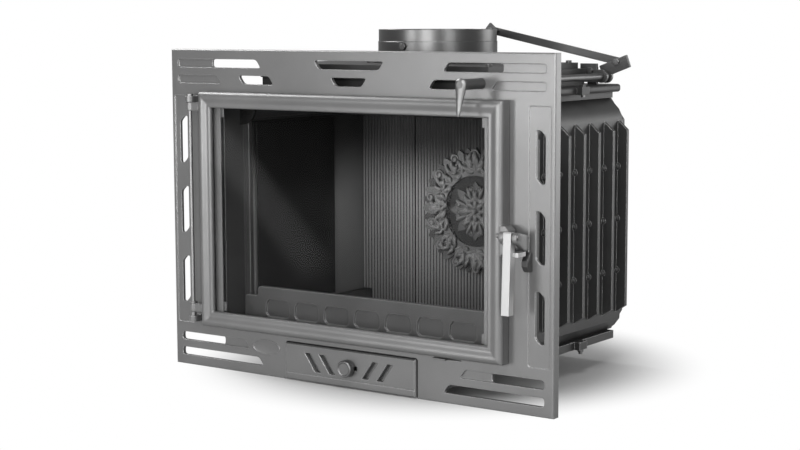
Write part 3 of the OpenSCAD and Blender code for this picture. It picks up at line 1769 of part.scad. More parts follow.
module drawer_front() {
  stem_half = stem_r + slide_gap;
  color([0.5, 0.51, 0.52])
    difference() {
      translate([0, drawer_y0, 0])
        bevel_slab(drawer_half, drawer_z0, drawer_z1, drawer_front_t, drawer_bevel_w);
      box(
        [-drawer_half - over_l, drawer_y0 - over_l, drawer_z0 + groove_up_h],
        [drawer_half + over_l, drawer_y0 + groove_w / 2, drawer_z0 + groove_up_h + groove_w]
      );
      to_rear(drawer_y0 - over_l, drawer_front_t + 2 * over_l)
        air_slots();
      box(
        [-shutter_reach - shutter_t, shutter_y - slide_gap, shutter_z - shutter_h / 2 - slide_gap],
        [shutter_reach + shutter_t, drawer_y1 + over_l, shutter_z + shutter_h / 2 + slide_gap]
      );
      to_rear(drawer_y0 - over_l, drawer_front_t + 2 * over_l)
        translate([-stem_half, shutter_z - stem_half])
          square([shutter_travel_l + 2 * stem_half, 2 * stem_half]);
    }
}

// two strips behind the drawer front that keep the shutter in its seat
module shutter_rails() {
  color([0.42, 0.42, 0.42])
    for (side = [-1, 1]) {
      z = shutter_z + side * shutter_h / 2 - rail_w / 2;
      box([-shutter_reach, drawer_y1, z], [shutter_reach, drawer_y1 + rail_t, z + rail_w]);
    }
}

module air_shutter() {
  color([0.35, 0.35, 0.35])
    difference() {
      to_rear(shutter_y, shutter_t)
        translate([-shutter_half, shutter_z - shutter_h / 2])
          square([shutter_w, shutter_h]);
      to_rear(shutter_y - shutter_t, 3 * shutter_t)
        air_slots(-shutter_travel_l);
    }
}

module shutter_knob() {
  neck = shutter_y + drawer_proud_d + slide_gap;
  color([0.6, 0.6, 0.61])
    translate([0, shutter_y, shutter_z])
      rotate([90, 0, 0])
        rotate_extrude($fn = round_fn)
          polygon([
            [0, 0], [stem_r, 0], [stem_r, neck], [0.85 * knob_r, neck],
            [knob_r, neck + knob_l / 6], [knob_r, neck + 0.85 * knob_l], [0.9 * knob_r, neck + knob_l],
            [0.8 * knob_r, neck + knob_l], [0.7 * knob_r, neck + 0.9 * knob_l], [0, neck + 0.9 * knob_l]
          ]);
}

module ash_pan() {
  y0 = drawer_y1;
  z0 = housing_t + slide_gap;
  color([0.45, 0.45, 0.46])
    difference() {
      box([-pan_half, y0, z0], [pan_half, pan_y1, drawer_z1 - shutter_t]);
      box(
        [pan_wall_t - pan_half, y0 + pan_wall_t, z0 + pan_wall_t],
        [pan_half - pan_wall_t, pan_y1 - pan_wall_t, drawer_z1]
      );
      box(
        [-shutter_reach - lap_w, y0 - over_l, shutter_z - shutter_h / 2 - rail_w],
        [shutter_reach + lap_w, y0 + pan_wall_t + over_l, drawer_z1]
      );
    }
}

// the secondary-air slider and the log guard

module air_slider() {
  y0 = plate_t + slide_gap / 2;
  color([0.55, 0.55, 0.56])
    union() {
      box(
        [tab_x0 - slider_end_l, y0, slider_z],
        [tab_x1 + slider_end_l + slider_travel_l - web_t, y0 + slider_t, slider_z + slider_h]
      );
      box([tab_x0, -tab_out_l, tab_z], [tab_x1, plate_t + slide_gap, tab_z + tab_t]);
    }
}

module pocket_outline() {
  x = pocket_w / 2;
  c = pocket_cut_w;
  polygon([
    [c - x, 0], [x - c, 0], [x, c], [x - c / 4, pocket_h - c],
    [x - c, pocket_h], [c - x, pocket_h], [c / 4 - x, pocket_h - c], [-x, c]
  ]);
}

// corner points of one half of the log guard's outline, from its foot up
function guard_side_points(side, c) = [
  [side * guard_ear_half, guard_z0], [side * guard_ear_half, guard_ear_z - c],
  [side * (guard_ear_half - c), guard_ear_z], [side * (guard_half + c / 2), guard_ear_z],
  [side * guard_half, guard_ear_z + c / 2], [side * guard_half, guard_z1 - c],
  [side * (guard_half - c), guard_z1]
];

module log_guard() {
  color([0.22, 0.21, 0.21])
    difference() {
      to_rear(guard_y, guard_t)
        polygon(concat(
          guard_side_points(1, guard_cut_w),
          [for (i = [6:-1:0]) guard_side_points(-1, guard_cut_w)[i]]
        ));
      for (i = [0:pocket_count - 1])
        translate([(i - (pocket_count - 1) / 2) * pocket_pitch_w, 0, guard_z0 + 0.75 * guard_cut_w])
          to_rear(guard_y - over_l, over_l + pocket_d)
            pocket_outline();
    }
}
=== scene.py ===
# The fireplace insert, dressed for its picture. Metres; X right, Y rear, Z up, floor at z = 0.
import json
import math

import bpy
from mathutils import Matrix, Vector

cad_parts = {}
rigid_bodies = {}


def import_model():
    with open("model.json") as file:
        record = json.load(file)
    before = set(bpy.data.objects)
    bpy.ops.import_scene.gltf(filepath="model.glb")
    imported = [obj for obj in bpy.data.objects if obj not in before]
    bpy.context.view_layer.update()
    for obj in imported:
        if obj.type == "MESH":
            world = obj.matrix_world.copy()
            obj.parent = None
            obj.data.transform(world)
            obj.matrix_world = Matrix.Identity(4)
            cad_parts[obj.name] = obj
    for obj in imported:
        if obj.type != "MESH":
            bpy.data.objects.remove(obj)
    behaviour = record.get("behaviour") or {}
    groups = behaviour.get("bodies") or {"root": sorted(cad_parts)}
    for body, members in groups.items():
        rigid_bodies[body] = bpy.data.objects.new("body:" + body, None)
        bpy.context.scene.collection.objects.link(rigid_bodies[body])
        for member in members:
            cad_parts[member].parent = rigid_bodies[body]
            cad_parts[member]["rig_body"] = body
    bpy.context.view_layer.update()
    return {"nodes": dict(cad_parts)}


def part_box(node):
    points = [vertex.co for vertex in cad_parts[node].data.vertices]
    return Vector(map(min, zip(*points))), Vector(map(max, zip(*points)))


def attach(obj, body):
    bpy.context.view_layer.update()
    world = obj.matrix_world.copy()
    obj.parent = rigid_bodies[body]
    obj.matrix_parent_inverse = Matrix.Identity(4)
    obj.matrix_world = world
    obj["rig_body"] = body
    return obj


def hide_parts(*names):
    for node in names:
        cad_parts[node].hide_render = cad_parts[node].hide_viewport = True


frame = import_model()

# Units and directions

MM = 0.001
# The middle of the front plate's face. Lengths that are given in millimetres are counted from it in y.
PLATE_FACE = Vector((0, -0.166, 0))
FRONT = Vector((0, -1, 0))
REAR = Vector((0, 1, 0))
RIGHT = Vector((1, 0, 0))

# View, light and floor

# A camera fitted to the plate's corners, in metres and degrees; film and lens in millimetres
CAMERA_AT = Vector((1.46657, -2.10135, 0.53312))
CAMERA_TURN = 35.43
CAMERA_TILT = 6.91
CAMERA_ROLL = 0.18
FILM_WIDTH = 36.0
LENS = 76.65
CLIP_END = 50

# Softboxes: where each stands, the point it faces, its width and height in metres, its power in watts
SOFTBOXES = {
    "key_left_front": ((-0.95, -2.9, 0.4), (0.15, 0, 0.25), (0.7, 0.7), 21),
    "collar_strip": ((0.7, -2.9, 0.7), (0, 0, 0.48), (1.1, 0.9), 42),
    "above_front": ((0.8, -1.4, 2.2), (0.2, -0.1, 0.2), (1.2, 0.8), 32),
    "left_high": ((-2.2, 0.1, 2.3), (0, 0, 0.1), (1.2, 1.2), 56),
    "right_front": ((2.3, -1.5, 0.7), (0.3, 0, 0.25), (0.6, 1.2), 20),
    "right_rear": ((1.5, 2.2, 0.5), (0.3, -0.1, 0.25), (1.3, 1.3), 20),
}
# The faint light inside the fire chamber, in the same order
INSIDE_LIGHT = ((-0.16, 0.0, 0.26), (0.04, 0.172, 0.23), (0.05, 0.12), 1.0)

# Strength of the white world: as light on the object, and where it is mirrored
WORLD_FILL = 0.3
WORLD_GLOSS = 0.36

# The card that is seen only as a slanting streak on the door's glass
CARD_TOP = Vector((-0.87, -0.851, 0.33))
CARD_FOOT = Vector((-0.56, -0.851, 0.02))
CARD_AIM = Vector((-0.12, -0.178, 0.27))
CARD_WIDTH = 0.1
CARD_GLOW = 2.0
# Where its glow fades: the distance from its middle as a share of its width and of its length, squared
CARD_FADE_ACROSS = (0.002, 0.2)
CARD_FADE_ALONG = (0.1, 0.25)

FLOOR_SIZE = 14
# The patch of floor that still takes shadow: its middle, its half widths, and over which shares of them it fades
FLOOR_MIDDLE = (0.0, 0.08, 0.0)
FLOOR_SPREAD = (0.4, 0.4, 1.0)
FLOOR_FADE = (0.6, 1.04)

# Finishes

# 1 less the cosine between the rounded and the flat normal, where an edge's wear and painted highlight begin and
# where they are full
EDGE_RANGE = (0.01, 0.16)
EDGE_SAMPLES = 4
# How far edges are lightened towards their tone: partly wear, partly a painted highlight
EDGE_WEAR_AND_HIGHLIGHT = 0.6
# The wide clouds of tone on a casting: their scale, and the range of the noise that they are made of
CLOUD_SCALE = 7.0
CLOUD_RANGE = (0.3, 0.7)
# The width of a casting's worn edges, lightened as wear and as a painted highlight, in millimetres, where nothing
# else is said
CAST_EDGE = 1.2
# How much the grain spreads the roughness of castings and of steel
GRAIN_SPREAD = 0.18
BRUSH_SPREAD = 0.2
# What painted shade leaves of a casting's grey in its grooves, and what soot with painted shade leaves of it
# towards its top
GROOVE_SHADE = 0.15
TOP_SOOT_AND_SHADE = 0.06
# Over which depths in y painted shade fills the grooves of the liner and the ground of the ornament, in metres
LINER_GROOVE = (0.1722, 0.1732)
ORNAMENT_GROUND = (0.1655, 0.1705)
# Over which heights soot and painted shade thicken on the liner, in metres
LINER_TOP = (0.24, 0.35)
# Steel is brushed along the direction in which its noise is stretched
ALONG_X = (0.1, 1.0, 1.0)
ALONG_Y = (1.0, 0.08, 1.0)
ALONG_Z = (1.0, 1.0, 0.06)
ALL_WAYS = (1.0, 1.0, 1.0)
# The mirror share of the glass where it is seen at a full slant, and what dust adds to it
GLASS_GLOSS = 0.16
GLASS_DUST = 0.003

# The CAD nodes of each finish
FINISH_OF = {
    "plate": ["front_plate", "drawer_front"],
    "frame": ["door_frame"],
    "body": ["firebox_front", "side_panel_left", "side_panel_right", "rear_panel", "base_plate"],
    "lid": ["top_plate", "hood_cover"],
    "collar": ["flue_collar", "flap_shaft"],
    "fire": ["grate", "log_guard", "damper_flap"],
    "liner": ["rear_liner", "rear_liner_left", "rear_liner_right", "side_liner_left", "side_liner_right"],
    # Near-black: soot, and painted shade that keeps the baffle dark
    "soot": ["baffle"],
    "ornament": ["oval_ornament"],
    "bright": ["door_handle"],
    "lever": ["damper_handle"],
    "linkage": ["damper_rod", "door_catch", "damper_bracket", "damper_crank", "damper_link", "flap_crank"],
    "plated": [
        "collar_bolts", "cover_bolts", "tie_bolts", "levelling_feet", "foot_nuts", "bracket_bolt", "crank_bolt",
        "flap_bolt", "glass_clips", "clip_screws", "handle_pin", "hinge_pin",
    ],
    "knob": ["shutter_knob"],
    "sheet": ["drawer_housing", "ash_pan", "shutter_rails", "slider_guides", "air_shutter", "air_slider"],
    "strip": ["glass_strips"],
    "rope": ["door_seal", "glass_seal"],
    "glass": ["door_glass"],
}

# Sizes of the pieces made here, in millimetres where nothing else is said

# Corners nearer than this are one, in metres
WELD = 0.00001

# Castings and fittings whose roundings show: their finish and the width of the rounding
ROUNDED = {
    "front_plate": ("plate", 0.8),
    "door_handle": ("bright", 1.3),
    "drawer_front": ("plate", 0.8),
    "log_guard": ("fire", 1.0),
    "side_panel_right": ("body", 1.2),
    "side_panel_left": ("body", 1.2),
    "top_plate": ("lid", 1.2),
    "damper_crank": ("linkage", 0.8),
    "damper_link": ("linkage", 0.7),
    "flap_crank": ("linkage", 0.8),
    "damper_bracket": ("linkage", 0.7),
    "collar_bolts": ("plated", 0.5),
    "cover_bolts": ("plated", 0.5),
    "crank_bolt": ("plated", 0.5),
    "flap_bolt": ("plated", 0.5),
    "bracket_bolt": ("plated", 0.5),
    "shutter_knob": ("knob", 0.4),
}

# The damper lever from top to foot: right of its shaft, behind the CAD handle's front, above the handle's top,
# and its thickness there as a share of the full one
LEVER_LINE = [
    (0, 8, 0.2, 0.3), (0, 8, -1.5, 0.92), (0, 8, -6, 1.08), (-0.5, 7.6, -14, 1.0), (-1.5, 6.4, -26, 0.74),
    (-2.5, 5.2, -38, 0.5), (-3.2, 4.2, -48, 0.4), (-3.4, 4, -51, 0.16),
]
LEVER_RADIUS = 8.2
# What the drawn lever keeps of its thickness from front to rear, and the depth that it is flattened towards
LEVER_FLATNESS = 0.52
LEVER_MIDDLE = 7
# Its hub, with the same origin as the line
HUB_AT = (0, 8.5, -9)
HUB_RADIUS = 5.2
HUB_LENGTH = 7

# The lobes of a leaf: the turn away from its rib in radians, the share of its length and of its width
LEAF_LOBES = [(0, 1.0, 1.0), (0.62, 0.78, 0.8), (-0.62, 0.78, 0.8), (1.15, 0.5, 0.62), (-1.15, 0.5, 0.62)]
SCROLL_POINTS = 17
# The rim of the ornament as shares of the half width and half height of its oval
RIM_WIDTH = 0.56
RIM_HEIGHT = 0.64
RIM_RADIUS = 2.6
RIM_BEADS = 60
BEAD_RADIUS = 2.3
# How deep a bead goes behind its middle
BEAD_DEPTH = 1.2
WREATH_LEAVES = 28
# Leaves lean to the left and to the right in turn: hand, distance from the middle in rims, height of relief, size
LEAF_KINDS = [(-1, 1.02, 1.6, 0.92), (1, 1.2, 2.8, 0.72)]
LEAF_LEAN = 0.62
# The distance of the scrolls between them in rims, in turn
SCROLL_REACH = (1.08, 1.38)
FLOWER_PETALS = 8

# The near-black side plate of soot and painted shade: its thickness, its middle in front of the liner, how far it
# stays from the liner's front, top and foot, and its share of the liner's depth
SIDE_PLATE_THICK = 3.2
SIDE_PLATE_MIDDLE = 1.8
SIDE_PLATE_MARGIN = 4
SIDE_PLATE_SHARE = 0.67

# The gussets: the middle of the right one, their size, and how much is cut from the lower corner at the fire
GUSSET_AT = (227, 45, 390)
GUSSET_SIZE = (34, 4, 34)
GUSSET_CUT = 26

# The front of the door's frame between its knuckles and its lug is set back to the face that carries the moulding
DOOR_HALF = 270
FRAME_BACK = 15.2
# Corners further forward than the first belong to the lug, and on the outer sides those up to the second
# stay with the knuckles and the lug
FRAME_FRONT = 22.5
FRAME_SIDE = 19.9
# The blank that the moulding is made from: its thickness, and its middle in front of the face that carries it
BLANK_THICK = 1.4
BLANK_MIDDLE = 0.2
# The moulding's section: how far in from the outer edge, and how far in front of the plate
FRAME_SECTION = [
    (0.4, 17.2), (1.2, 18.7), (2.4, 20.1), (4.0, 21.2), (6.0, 21.9), (8.0, 22.0), (10.2, 21.6), (12.4, 20.8),
    (14.6, 19.9), (16.6, 19.3), (18.4, 19.1), (20.0, 19.3), (21.4, 19.5), (22.4, 19.3), (23.2, 18.6), (23.8, 17.6),
    (24.0, 16.2),
]

# The bare oval: its middle, and half its width, height and thickness
CARTOUCHE_AT = (-157.5, 0.2, 43.5)
CARTOUCHE_SIZE = (26.5, 11.5, 0.9)


# Camera and light

def link_new(name, data):
    """A new object in the scene."""
    made = bpy.data.objects.new(name, data)
    bpy.context.scene.collection.objects.link(made)
    return made


def make_camera():
    """The camera stands where the photographer's stood."""
    turn, tilt, roll = (math.radians(v) for v in (CAMERA_TURN, CAMERA_TILT, CAMERA_ROLL))
    ahead = Vector((-math.sin(turn) * math.cos(tilt), math.cos(turn) * math.cos(tilt), -math.sin(tilt)))
    side = Vector((math.cos(turn), math.sin(turn), 0))
    down = ahead.cross(side)
    right = side * math.cos(roll) + down * math.sin(roll)
    below = down * math.cos(roll) - side * math.sin(roll)
    pose = Matrix((right, -below, -ahead)).transposed().to_4x4()
    pose.translation = CAMERA_AT
    data = bpy.data.cameras.new("camera")
    data.lens = LENS
    data.sensor_width = FILM_WIDTH
    data.clip_end = CLIP_END
    camera = link_new("camera", data)
    camera.matrix_world = pose
    bpy.context.scene.camera = camera


def soft_light(name, at, aim, size, power):
    """A rectangular softbox that faces a point of the insert."""
    data = bpy.data.lights.new(name, "AREA")
    data.shape = "RECTANGLE"
    data.size, data.size_y = size
    data.energy = power
    light = link_new(name, data)
    light.location = at
    light.rotation_mode = "QUATERNION"
    light.rotation_quaternion = (Vector(aim) - Vector(at)).to_track_quat("-Z", "Y")
    return light


def make_lights():
    """The softboxes, and the light inside, of which only the effect is seen."""
    for name, settings in SOFTBOXES.items():
        soft_light(name, *settings)
    inside = soft_light("inside_fire_chamber", *INSIDE_LIGHT)
    inside.visible_camera = False
    inside.visible_glossy = False


# Shader maths

class Term:
    """One socket of a material. Sums, products and powers of terms add Math nodes."""

    def __init__(self, tree, socket):
        self.tree = tree
        self.socket = socket

    def _math(self, operation, *terms):
        return add_term(self.tree, "ShaderNodeMath", {"operation": operation}, dict(enumerate(terms)))

    def __add__(self, other):
        return self._math("ADD", self, other)

    def __sub__(self, other):
        return self._math("SUBTRACT", self, other)

    def __rsub__(self, other):
        return self._math("SUBTRACT", other, self)

    def __mul__(self, other):
        return self._math("MULTIPLY", self, other)

    def __pow__(self, other):
        return self._math("POWER", self, other)

    def clamp(self):
        return add_term(self.tree, "ShaderNodeClamp", {}, {0: self})

    def step(self, low, high):
        """0 below low, 1 above high, smooth between."""
        settings = {"interpolation_type": "SMOOTHSTEP"}
        return add_term(self.tree, "ShaderNodeMapRange", settings, {0: self, 1: low, 2: high})


def add_term(tree, kind, settings, inputs, out=0):
    """Adds a node with its settings and with values or links at its sockets; gives one of its outputs."""
    node = tree.nodes.new(kind)
    for key, value in settings.items():
        setattr(node, key, value)
    for key, value in inputs.items():
        if isinstance(value, Term):
            tree.links.new(value.socket, node.inputs[key])
        else:
            node.inputs[key].default_value = value
    return Term(tree, node.outputs[out])


def show(shader, kind):
    """Links a shader to an output node of its tree."""
    shader.tree.links.new(shader.socket, shader.tree.nodes.new(kind).inputs[0])


class Finish:
    """A material under construction; its terms start from Object coordinates."""

    def __init__(self, name):
        self.material = bpy.data.materials.new(name)
        self.material.use_nodes = True
        self.tree = self.material.node_tree
        self.tree.nodes.clear()
        self.place = self.term("ShaderNodeTexCoord", {}, "Object")

    def term(self, kind, inputs, out=0, **settings):
        return add_term(self.tree, kind, settings, inputs, out)

    def axis(self, letter):
        """One of the three coordinates."""
        return self.term("ShaderNodeSeparateXYZ", {0: self.place}, letter)

    def vector(self, operation, *terms, out=0):
        return self.term("ShaderNodeVectorMath", dict(enumerate(terms)), out, operation=operation)

    def noise(self, scale, detail=3.0, roughness=0.55, stretch=None):
        place = self.vector("MULTIPLY", self.place, stretch) if stretch else self.place
        inputs = {"Vector": place, "Scale": scale, "Detail": detail, "Roughness": roughness}
        return self.term("ShaderNodeTexNoise", inputs)

    def blend(self, factor, first, second):
        """A colour between two colours."""
        return self.term("ShaderNodeMix", {0: factor, 6: first, 7: second}, 2, data_type="RGBA")

    def edge(self, radius):
        """The rounded normal of an edge, and how near an edge is, from 0 to 1."""
        rounded = self.term("ShaderNodeBevel", {"Radius": radius}, samples=EDGE_SAMPLES)
        flat = self.term("ShaderNodeNewGeometry", {}, "Normal")
        alike = self.vector("DOT_PRODUCT", rounded, flat, out="Value")
        return rounded, (1.0 - alike).step(*EDGE_RANGE)

    def bump(self, height, strength, distance, normal=None):
        inputs = {"Height": height, "Strength": strength, "Distance": distance}
        if normal is not None:
            inputs["Normal"] = normal
        return self.term("ShaderNodeBump", inputs)

    def principled(self, **sockets):
        """A Principled BSDF; a name like Base_Color stands for Base Color."""
        inputs = {key.replace("_", " "): value for key, value in sockets.items()}
        return self.term("ShaderNodeBsdfPrincipled", inputs)

    def clear(self, value):
        return self.term("ShaderNodeBsdfTransparent", {"Color": grey(value)})

    def glow(self, strength):
        return self.term("ShaderNodeEmission", {"Color": grey(1.0), "Strength": strength})

    def mix(self, share, first, second):
        """A shader between two shaders."""
        return self.term("ShaderNodeMixShader", {0: share, 1: first, 2: second})

    def finished(self, shader):
        """The material, with this shader as its surface."""
        show(shader, "ShaderNodeOutputMaterial")
        return self.material


def grey(value, warm=0.0):
    """A grey with a little warmth, as a colour with alpha."""
    return (value * (1 + warm), value, value * (1 - warm), 1.0)


def cast_finish(name, greys, metallic, roughness, grain, edge, deep=None, high=None, sheen=0.5):
    """A casting: sand grain, faint clouds of tone, and smoother edges lightened by wear and a painted highlight.

    greys are the two tones of its clouds, grain is the scale and the depth of its grain, edge the tone and the
    width of its worn edges, lightened as wear and as a painted highlight; depth and width are in millimetres. deep
    is the range in y over which painted shade fills its grooves and hollows, and high the range in z over which
    soot and painted shade darken it towards its top.
    """
    f = Finish(name)
    dark, light = greys
    grain_scale, grain_depth = grain
    edge_wear_and_highlight_tone, edge_width = edge
    rounded, near_edge = f.edge(edge_width * MM)
    cloud = f.noise(CLOUD_SCALE, 4.0).step(*CLOUD_RANGE)
    fine = f.noise(grain_scale, 3.0, 0.65)
    colour = f.blend(cloud, grey(dark), grey(light))
    # Edges lightened towards their own tone: wear, and a painted highlight
    colour = f.blend(near_edge * EDGE_WEAR_AND_HIGHLIGHT, colour, grey(edge_wear_and_highlight_tone))
    # Painted shade in the grooves and hollows, deeper in y
    if deep:
        colour = f.blend(f.axis("Y").step(*deep), colour, grey(GROOVE_SHADE * dark))
    # Darker towards the top: soot and painted shade
    if high:
        soot = (f.axis("Z").step(*high) + (cloud - 0.5) * 0.25).clamp()
        colour = f.blend(soot * 0.95, colour, grey(TOP_SOOT_AND_SHADE * dark))
    return f.finished(f.principled(
        Base_Color=colour,
        Metallic=metallic,
        Roughness=(fine * GRAIN_SPREAD + roughness - GRAIN_SPREAD / 2 - near_edge * 0.08).clamp(),
        Specular_IOR_Level=sheen,
        Normal=f.bump(fine, 0.5, grain_depth * MM, rounded),
    ))


def steel_finish(name, tone, roughness, brushed_along):
    """Machined or drawn steel with fine streaks along one direction."""
    f = Finish(name)
    rounded, near_edge = f.edge(0.8 * MM)
    streaks = f.noise(900.0, 2.0, 0.6, brushed_along)
    cloud = f.noise(30.0)
    share = (streaks * 0.22 + cloud * 0.3).clamp()
    return f.finished(f.principled(
        Base_Color=f.blend(share, grey(tone), grey(1.35 * tone)),
        Metallic=1.0,
        Roughness=(streaks * BRUSH_SPREAD + roughness - BRUSH_SPREAD / 2 + cloud * 0.08 - near_edge * 0.1).clamp(),
        Normal=f.bump(streaks, 0.25, 0.05 * MM, rounded),
    ))


def rope_finish(name):
    """Woven glass rope: slanting strands and loose fuzz."""
    f = Finish(name)
    wave = {"Vector": f.place, "Scale": 180.0, "Distortion": 2.0, "Detail": 2.0}
    strands = f.term("ShaderNodeTexWave", wave, bands_direction="DIAGONAL")
    fuzz = f.noise(900.0, 2.0)
    height = strands * 0.7 + fuzz * 0.3
    return f.finished(f.principled(
        # Darker where the strands sink: painted shade in the hollows between them
        Base_Color=f.blend(height, grey(0.12, 0.03), grey(0.34, 0.04)),
        Roughness=0.95,
        Normal=f.bump(height, 0.7, 0.4 * MM),
    ))


def glass_finish(name):
    """Flat ceramic glass: clear straight on, glossy at a slant, with a breath of dust.

    The slant is taken from the facing, and not from a Fresnel node, which mirrors fully inside the pane.
    """
    f = Finish(name)
    dust = f.noise(14.0, 5.0, 0.6)
    slant = f.term("ShaderNodeLayerWeight", {"Blend": 0.5}, "Facing")
    mirror = f.principled(Base_Color=grey(0.9), Roughness=0.05, Metallic=1.0)
    share = ((slant ** 5.0 + 0.04) * GLASS_GLOSS + dust * GLASS_DUST).clamp()
    return f.finished(f.mix(share, f.clear(0.9), mirror))


def floor_finish(name):
    """Floor that turns pure white away from the insert, so that no horizon shows; near the insert it is a mid
    grey, painted shade that darkens the floor and deepens its shadows there.

    The white is only for the camera, so that it throws no light on the insert.
    """
    f = Finish(name)
    from_middle = f.vector("SUBTRACT", f.place, FLOOR_MIDDLE)
    far = f.vector("LENGTH", f.vector("DIVIDE", from_middle, FLOOR_SPREAD), out="Value").step(*FLOOR_FADE)
    # A mid grey near the insert: painted shade that darkens the floor and its shadows
    paint = f.principled(Base_Color=grey(0.5), Roughness=0.8, Specular_IOR_Level=0.1)
    seen = f.term("ShaderNodeLightPath", {}, "Is Camera Ray")
    return f.finished(f.mix(far * seen, paint, f.glow(1.0)))


def card_finish(name):
    """A glow that fades out across and along the card, so that its reflection has soft edges."""
    f = Finish(name)
    across = f.axis("X")
    along = f.axis("Y")
    fade = (1.0 - (across * across).step(*CARD_FADE_ACROSS)) * (1.0 - (along * along).step(*CARD_FADE_ALONG))
    return f.finished(f.mix(fade, f.clear(1.0), f.glow(CARD_GLOW)))


def make_world():
    """A white studio: white to the camera and through glass, dimmer in reflections and as light."""
    world = bpy.data.worlds.new("studio")
    world.use_nodes = True
    bpy.context.scene.world = world
    tree = world.node_tree
    tree.nodes.clear()
    seen, through, shining = (
        add_term(tree, "ShaderNodeLightPath", {}, {}, ray)
        for ray in ("Is Camera Ray", "Is Transmission Ray", "Is Glossy Ray")
    )
    strength = (seen + through).clamp() * (1.0 - WORLD_FILL) + shining * (WORLD_GLOSS - WORLD_FILL) + WORLD_FILL
    back = add_term(tree, "ShaderNodeBackground", {}, {"Color": grey(1.0), "Strength": strength})
    show(back, "ShaderNodeOutputWorld")


def make_finishes():
    """Every finish under the name that the tables above use."""
    return {
        "plate": cast_finish("plate_paint_satin_grey", (0.155, 0.18), 0.6, 0.36, (1400.0, 0.05), (0.6, 1.8)),
        "frame": cast_finish("door_frame_satin_grey", (0.16, 0.185), 0.6, 0.36, (1400.0, 0.05), (0.24, 4.0)),
        "body": cast_finish("body_iron_dark", (0.04, 0.056), 0.35, 0.46, (700.0, 0.14), (0.7, CAST_EDGE)),
        "lid": cast_finish("top_iron_dark", (0.03, 0.045), 0.3, 0.5, (700.0, 0.14), (0.2, CAST_EDGE)),
        "collar": cast_finish("collar_iron_dark", (0.1, 0.12), 0.9, 0.34, (900.0, 0.06), (0.2, CAST_EDGE)),
        "fire": cast_finish("fire_iron_heat_grey", (0.072, 0.1), 0.25, 0.44, (500.0, 0.12), (0.8, 1.8)),
        "liner": cast_finish(
            "liner_iron_grey", (0.1, 0.14), 0.2, 0.5, (600.0, 0.1), (0.3, 0.6),
            deep=LINER_GROOVE, high=LINER_TOP, sheen=0.3,
        ),
        "ornament": cast_finish(
            "ornament_iron_grey", (0.082, 0.12), 0.35, 0.42, (800.0, 0.08), (0.35, 0.8), deep=ORNAMENT_GROUND,
        ),
        # Near-black soot and painted shade, for the baffle, the side plate and the gussets
        "soot": cast_finish(
            "sooted_plate_black", (0.006, 0.01), 0.0, 0.6, (500.0, 0.14), (0.015, CAST_EDGE), sheen=0.12,
        ),
        "bright": steel_finish("bright_satin_steel", 0.42, 0.5, ALONG_Z),
        "lever": steel_finish("lever_satin_steel", 0.2, 0.36, ALONG_Z),
        "linkage": steel_finish("linkage_steel_dark", 0.14, 0.42, ALONG_X),
        "plated": steel_finish("plated_bolt_steel", 0.22, 0.36, ALL_WAYS),
        "knob": steel_finish("turned_knob_steel", 0.16, 0.38, ALL_WAYS),
        "sheet": steel_finish("dull_sheet_steel", 0.16, 0.45, ALONG_Y),
        "strip": cast_finish("strip_steel_grey", (0.2, 0.26), 0.6, 0.4, (900.0, 0.04), (0.25, CAST_EDGE)),
        "rope": rope_finish("woven_glass_rope"),
        "glass": glass_finish("clear_ceramic_glass"),
    }


def wear(piece, finish):
    """Gives a piece or a CAD node one finish."""
    piece.data.materials.clear()
    piece.data.materials.append(finishes[finish])


def paint_nodes():
    """Every CAD node gets its finish, also one that a piece stands for."""
    for finish, names in FINISH_OF.items():
        for name in names:
            wear(frame["nodes"][name], finish)


# Modelling

def spot(x, y, z):
    """A point given in millimetres, with y counted from the face of the front plate."""
    return Vector((x, y, z)) * MM + PLATE_FACE


def only(piece):
    """Makes one piece the only selected and the active one."""
    bpy.ops.object.select_all(action="DESELECT")
    piece.select_set(True)
    bpy.context.view_layer.objects.active = piece


def primitive(add, name, **settings):
    """A new mesh by one of Blender's operators, with its place, turn and size inside the mesh."""
    bpy.ops.object.select_all(action="DESELECT")
    add(**settings)
    piece = bpy.context.object
    piece.name = name
    bpy.ops.object.transform_apply(location=True, rotation=True, scale=True)
    return piece


def in_edit(piece, *steps):
    """Runs mesh operators on the whole of one piece; each step is an operator and its settings."""
    only(piece)
    bpy.ops.object.mode_set(mode="EDIT")
    for operator, settings in steps:
        bpy.ops.mesh.select_all(action="SELECT")
        operator(**settings)
    bpy.ops.object.mode_set(mode="OBJECT")


def pick(piece, wanted, kind="FACE"):
    """Opens a piece for edits, with those of its parts selected that pass a test.

    The test gets the middle and the normal of a face, the two ends of an edge, or a corner.
    """
    only(piece)
    bpy.ops.object.mode_set(mode="EDIT")
    bpy.ops.mesh.select_all(action="DESELECT")
    bpy.ops.mesh.select_mode(type=kind)
    bpy.ops.object.mode_set(mode="OBJECT")
    mesh = piece.data
    if kind == "FACE":
        for face in mesh.polygons:
            face.select = wanted(face.center, face.normal)
    elif kind == "EDGE":
        for edge in mesh.edges:
            edge.select = wanted(*(mesh.vertices[v].co for v in edge.vertices))
    else:
        for vertex in mesh.vertices:
            vertex.select = wanted(vertex.co)
    bpy.ops.object.mode_set(mode="EDIT")


def done():
    """Closes the piece that pick has opened."""
    bpy.ops.mesh.select_mode(type="VERT")
    bpy.ops.object.mode_set(mode="OBJECT")


def facing(way, least=0.9):
    """The test for faces that look one way."""
    return lambda at, normal: normal.dot(way) > least


def inset(piece, way, *steps):
    """Insets the faces of a piece that look one way; each step is a width and a height in millimetres."""
    pick(piece, facing(way))
    for width, height in steps:
        bpy.ops.mesh.inset(thickness=width * MM, depth=height * MM)
    done()


def flatten(piece, share, about=(0, 0, 0)):
    """Squeezes a piece in y towards a point."""
    pick(piece, lambda at: True, "VERT")
    bpy.ops.transform.resize(value=(1, share, 1), center_override=about)
    done()


def trim(piece, depth):
    """Cuts away the corners of a piece that lie deeper than this in y."""
    pick(piece, lambda at: at.y > depth, "VERT")
    bpy.ops.mesh.delete(type="VERT")
    done()


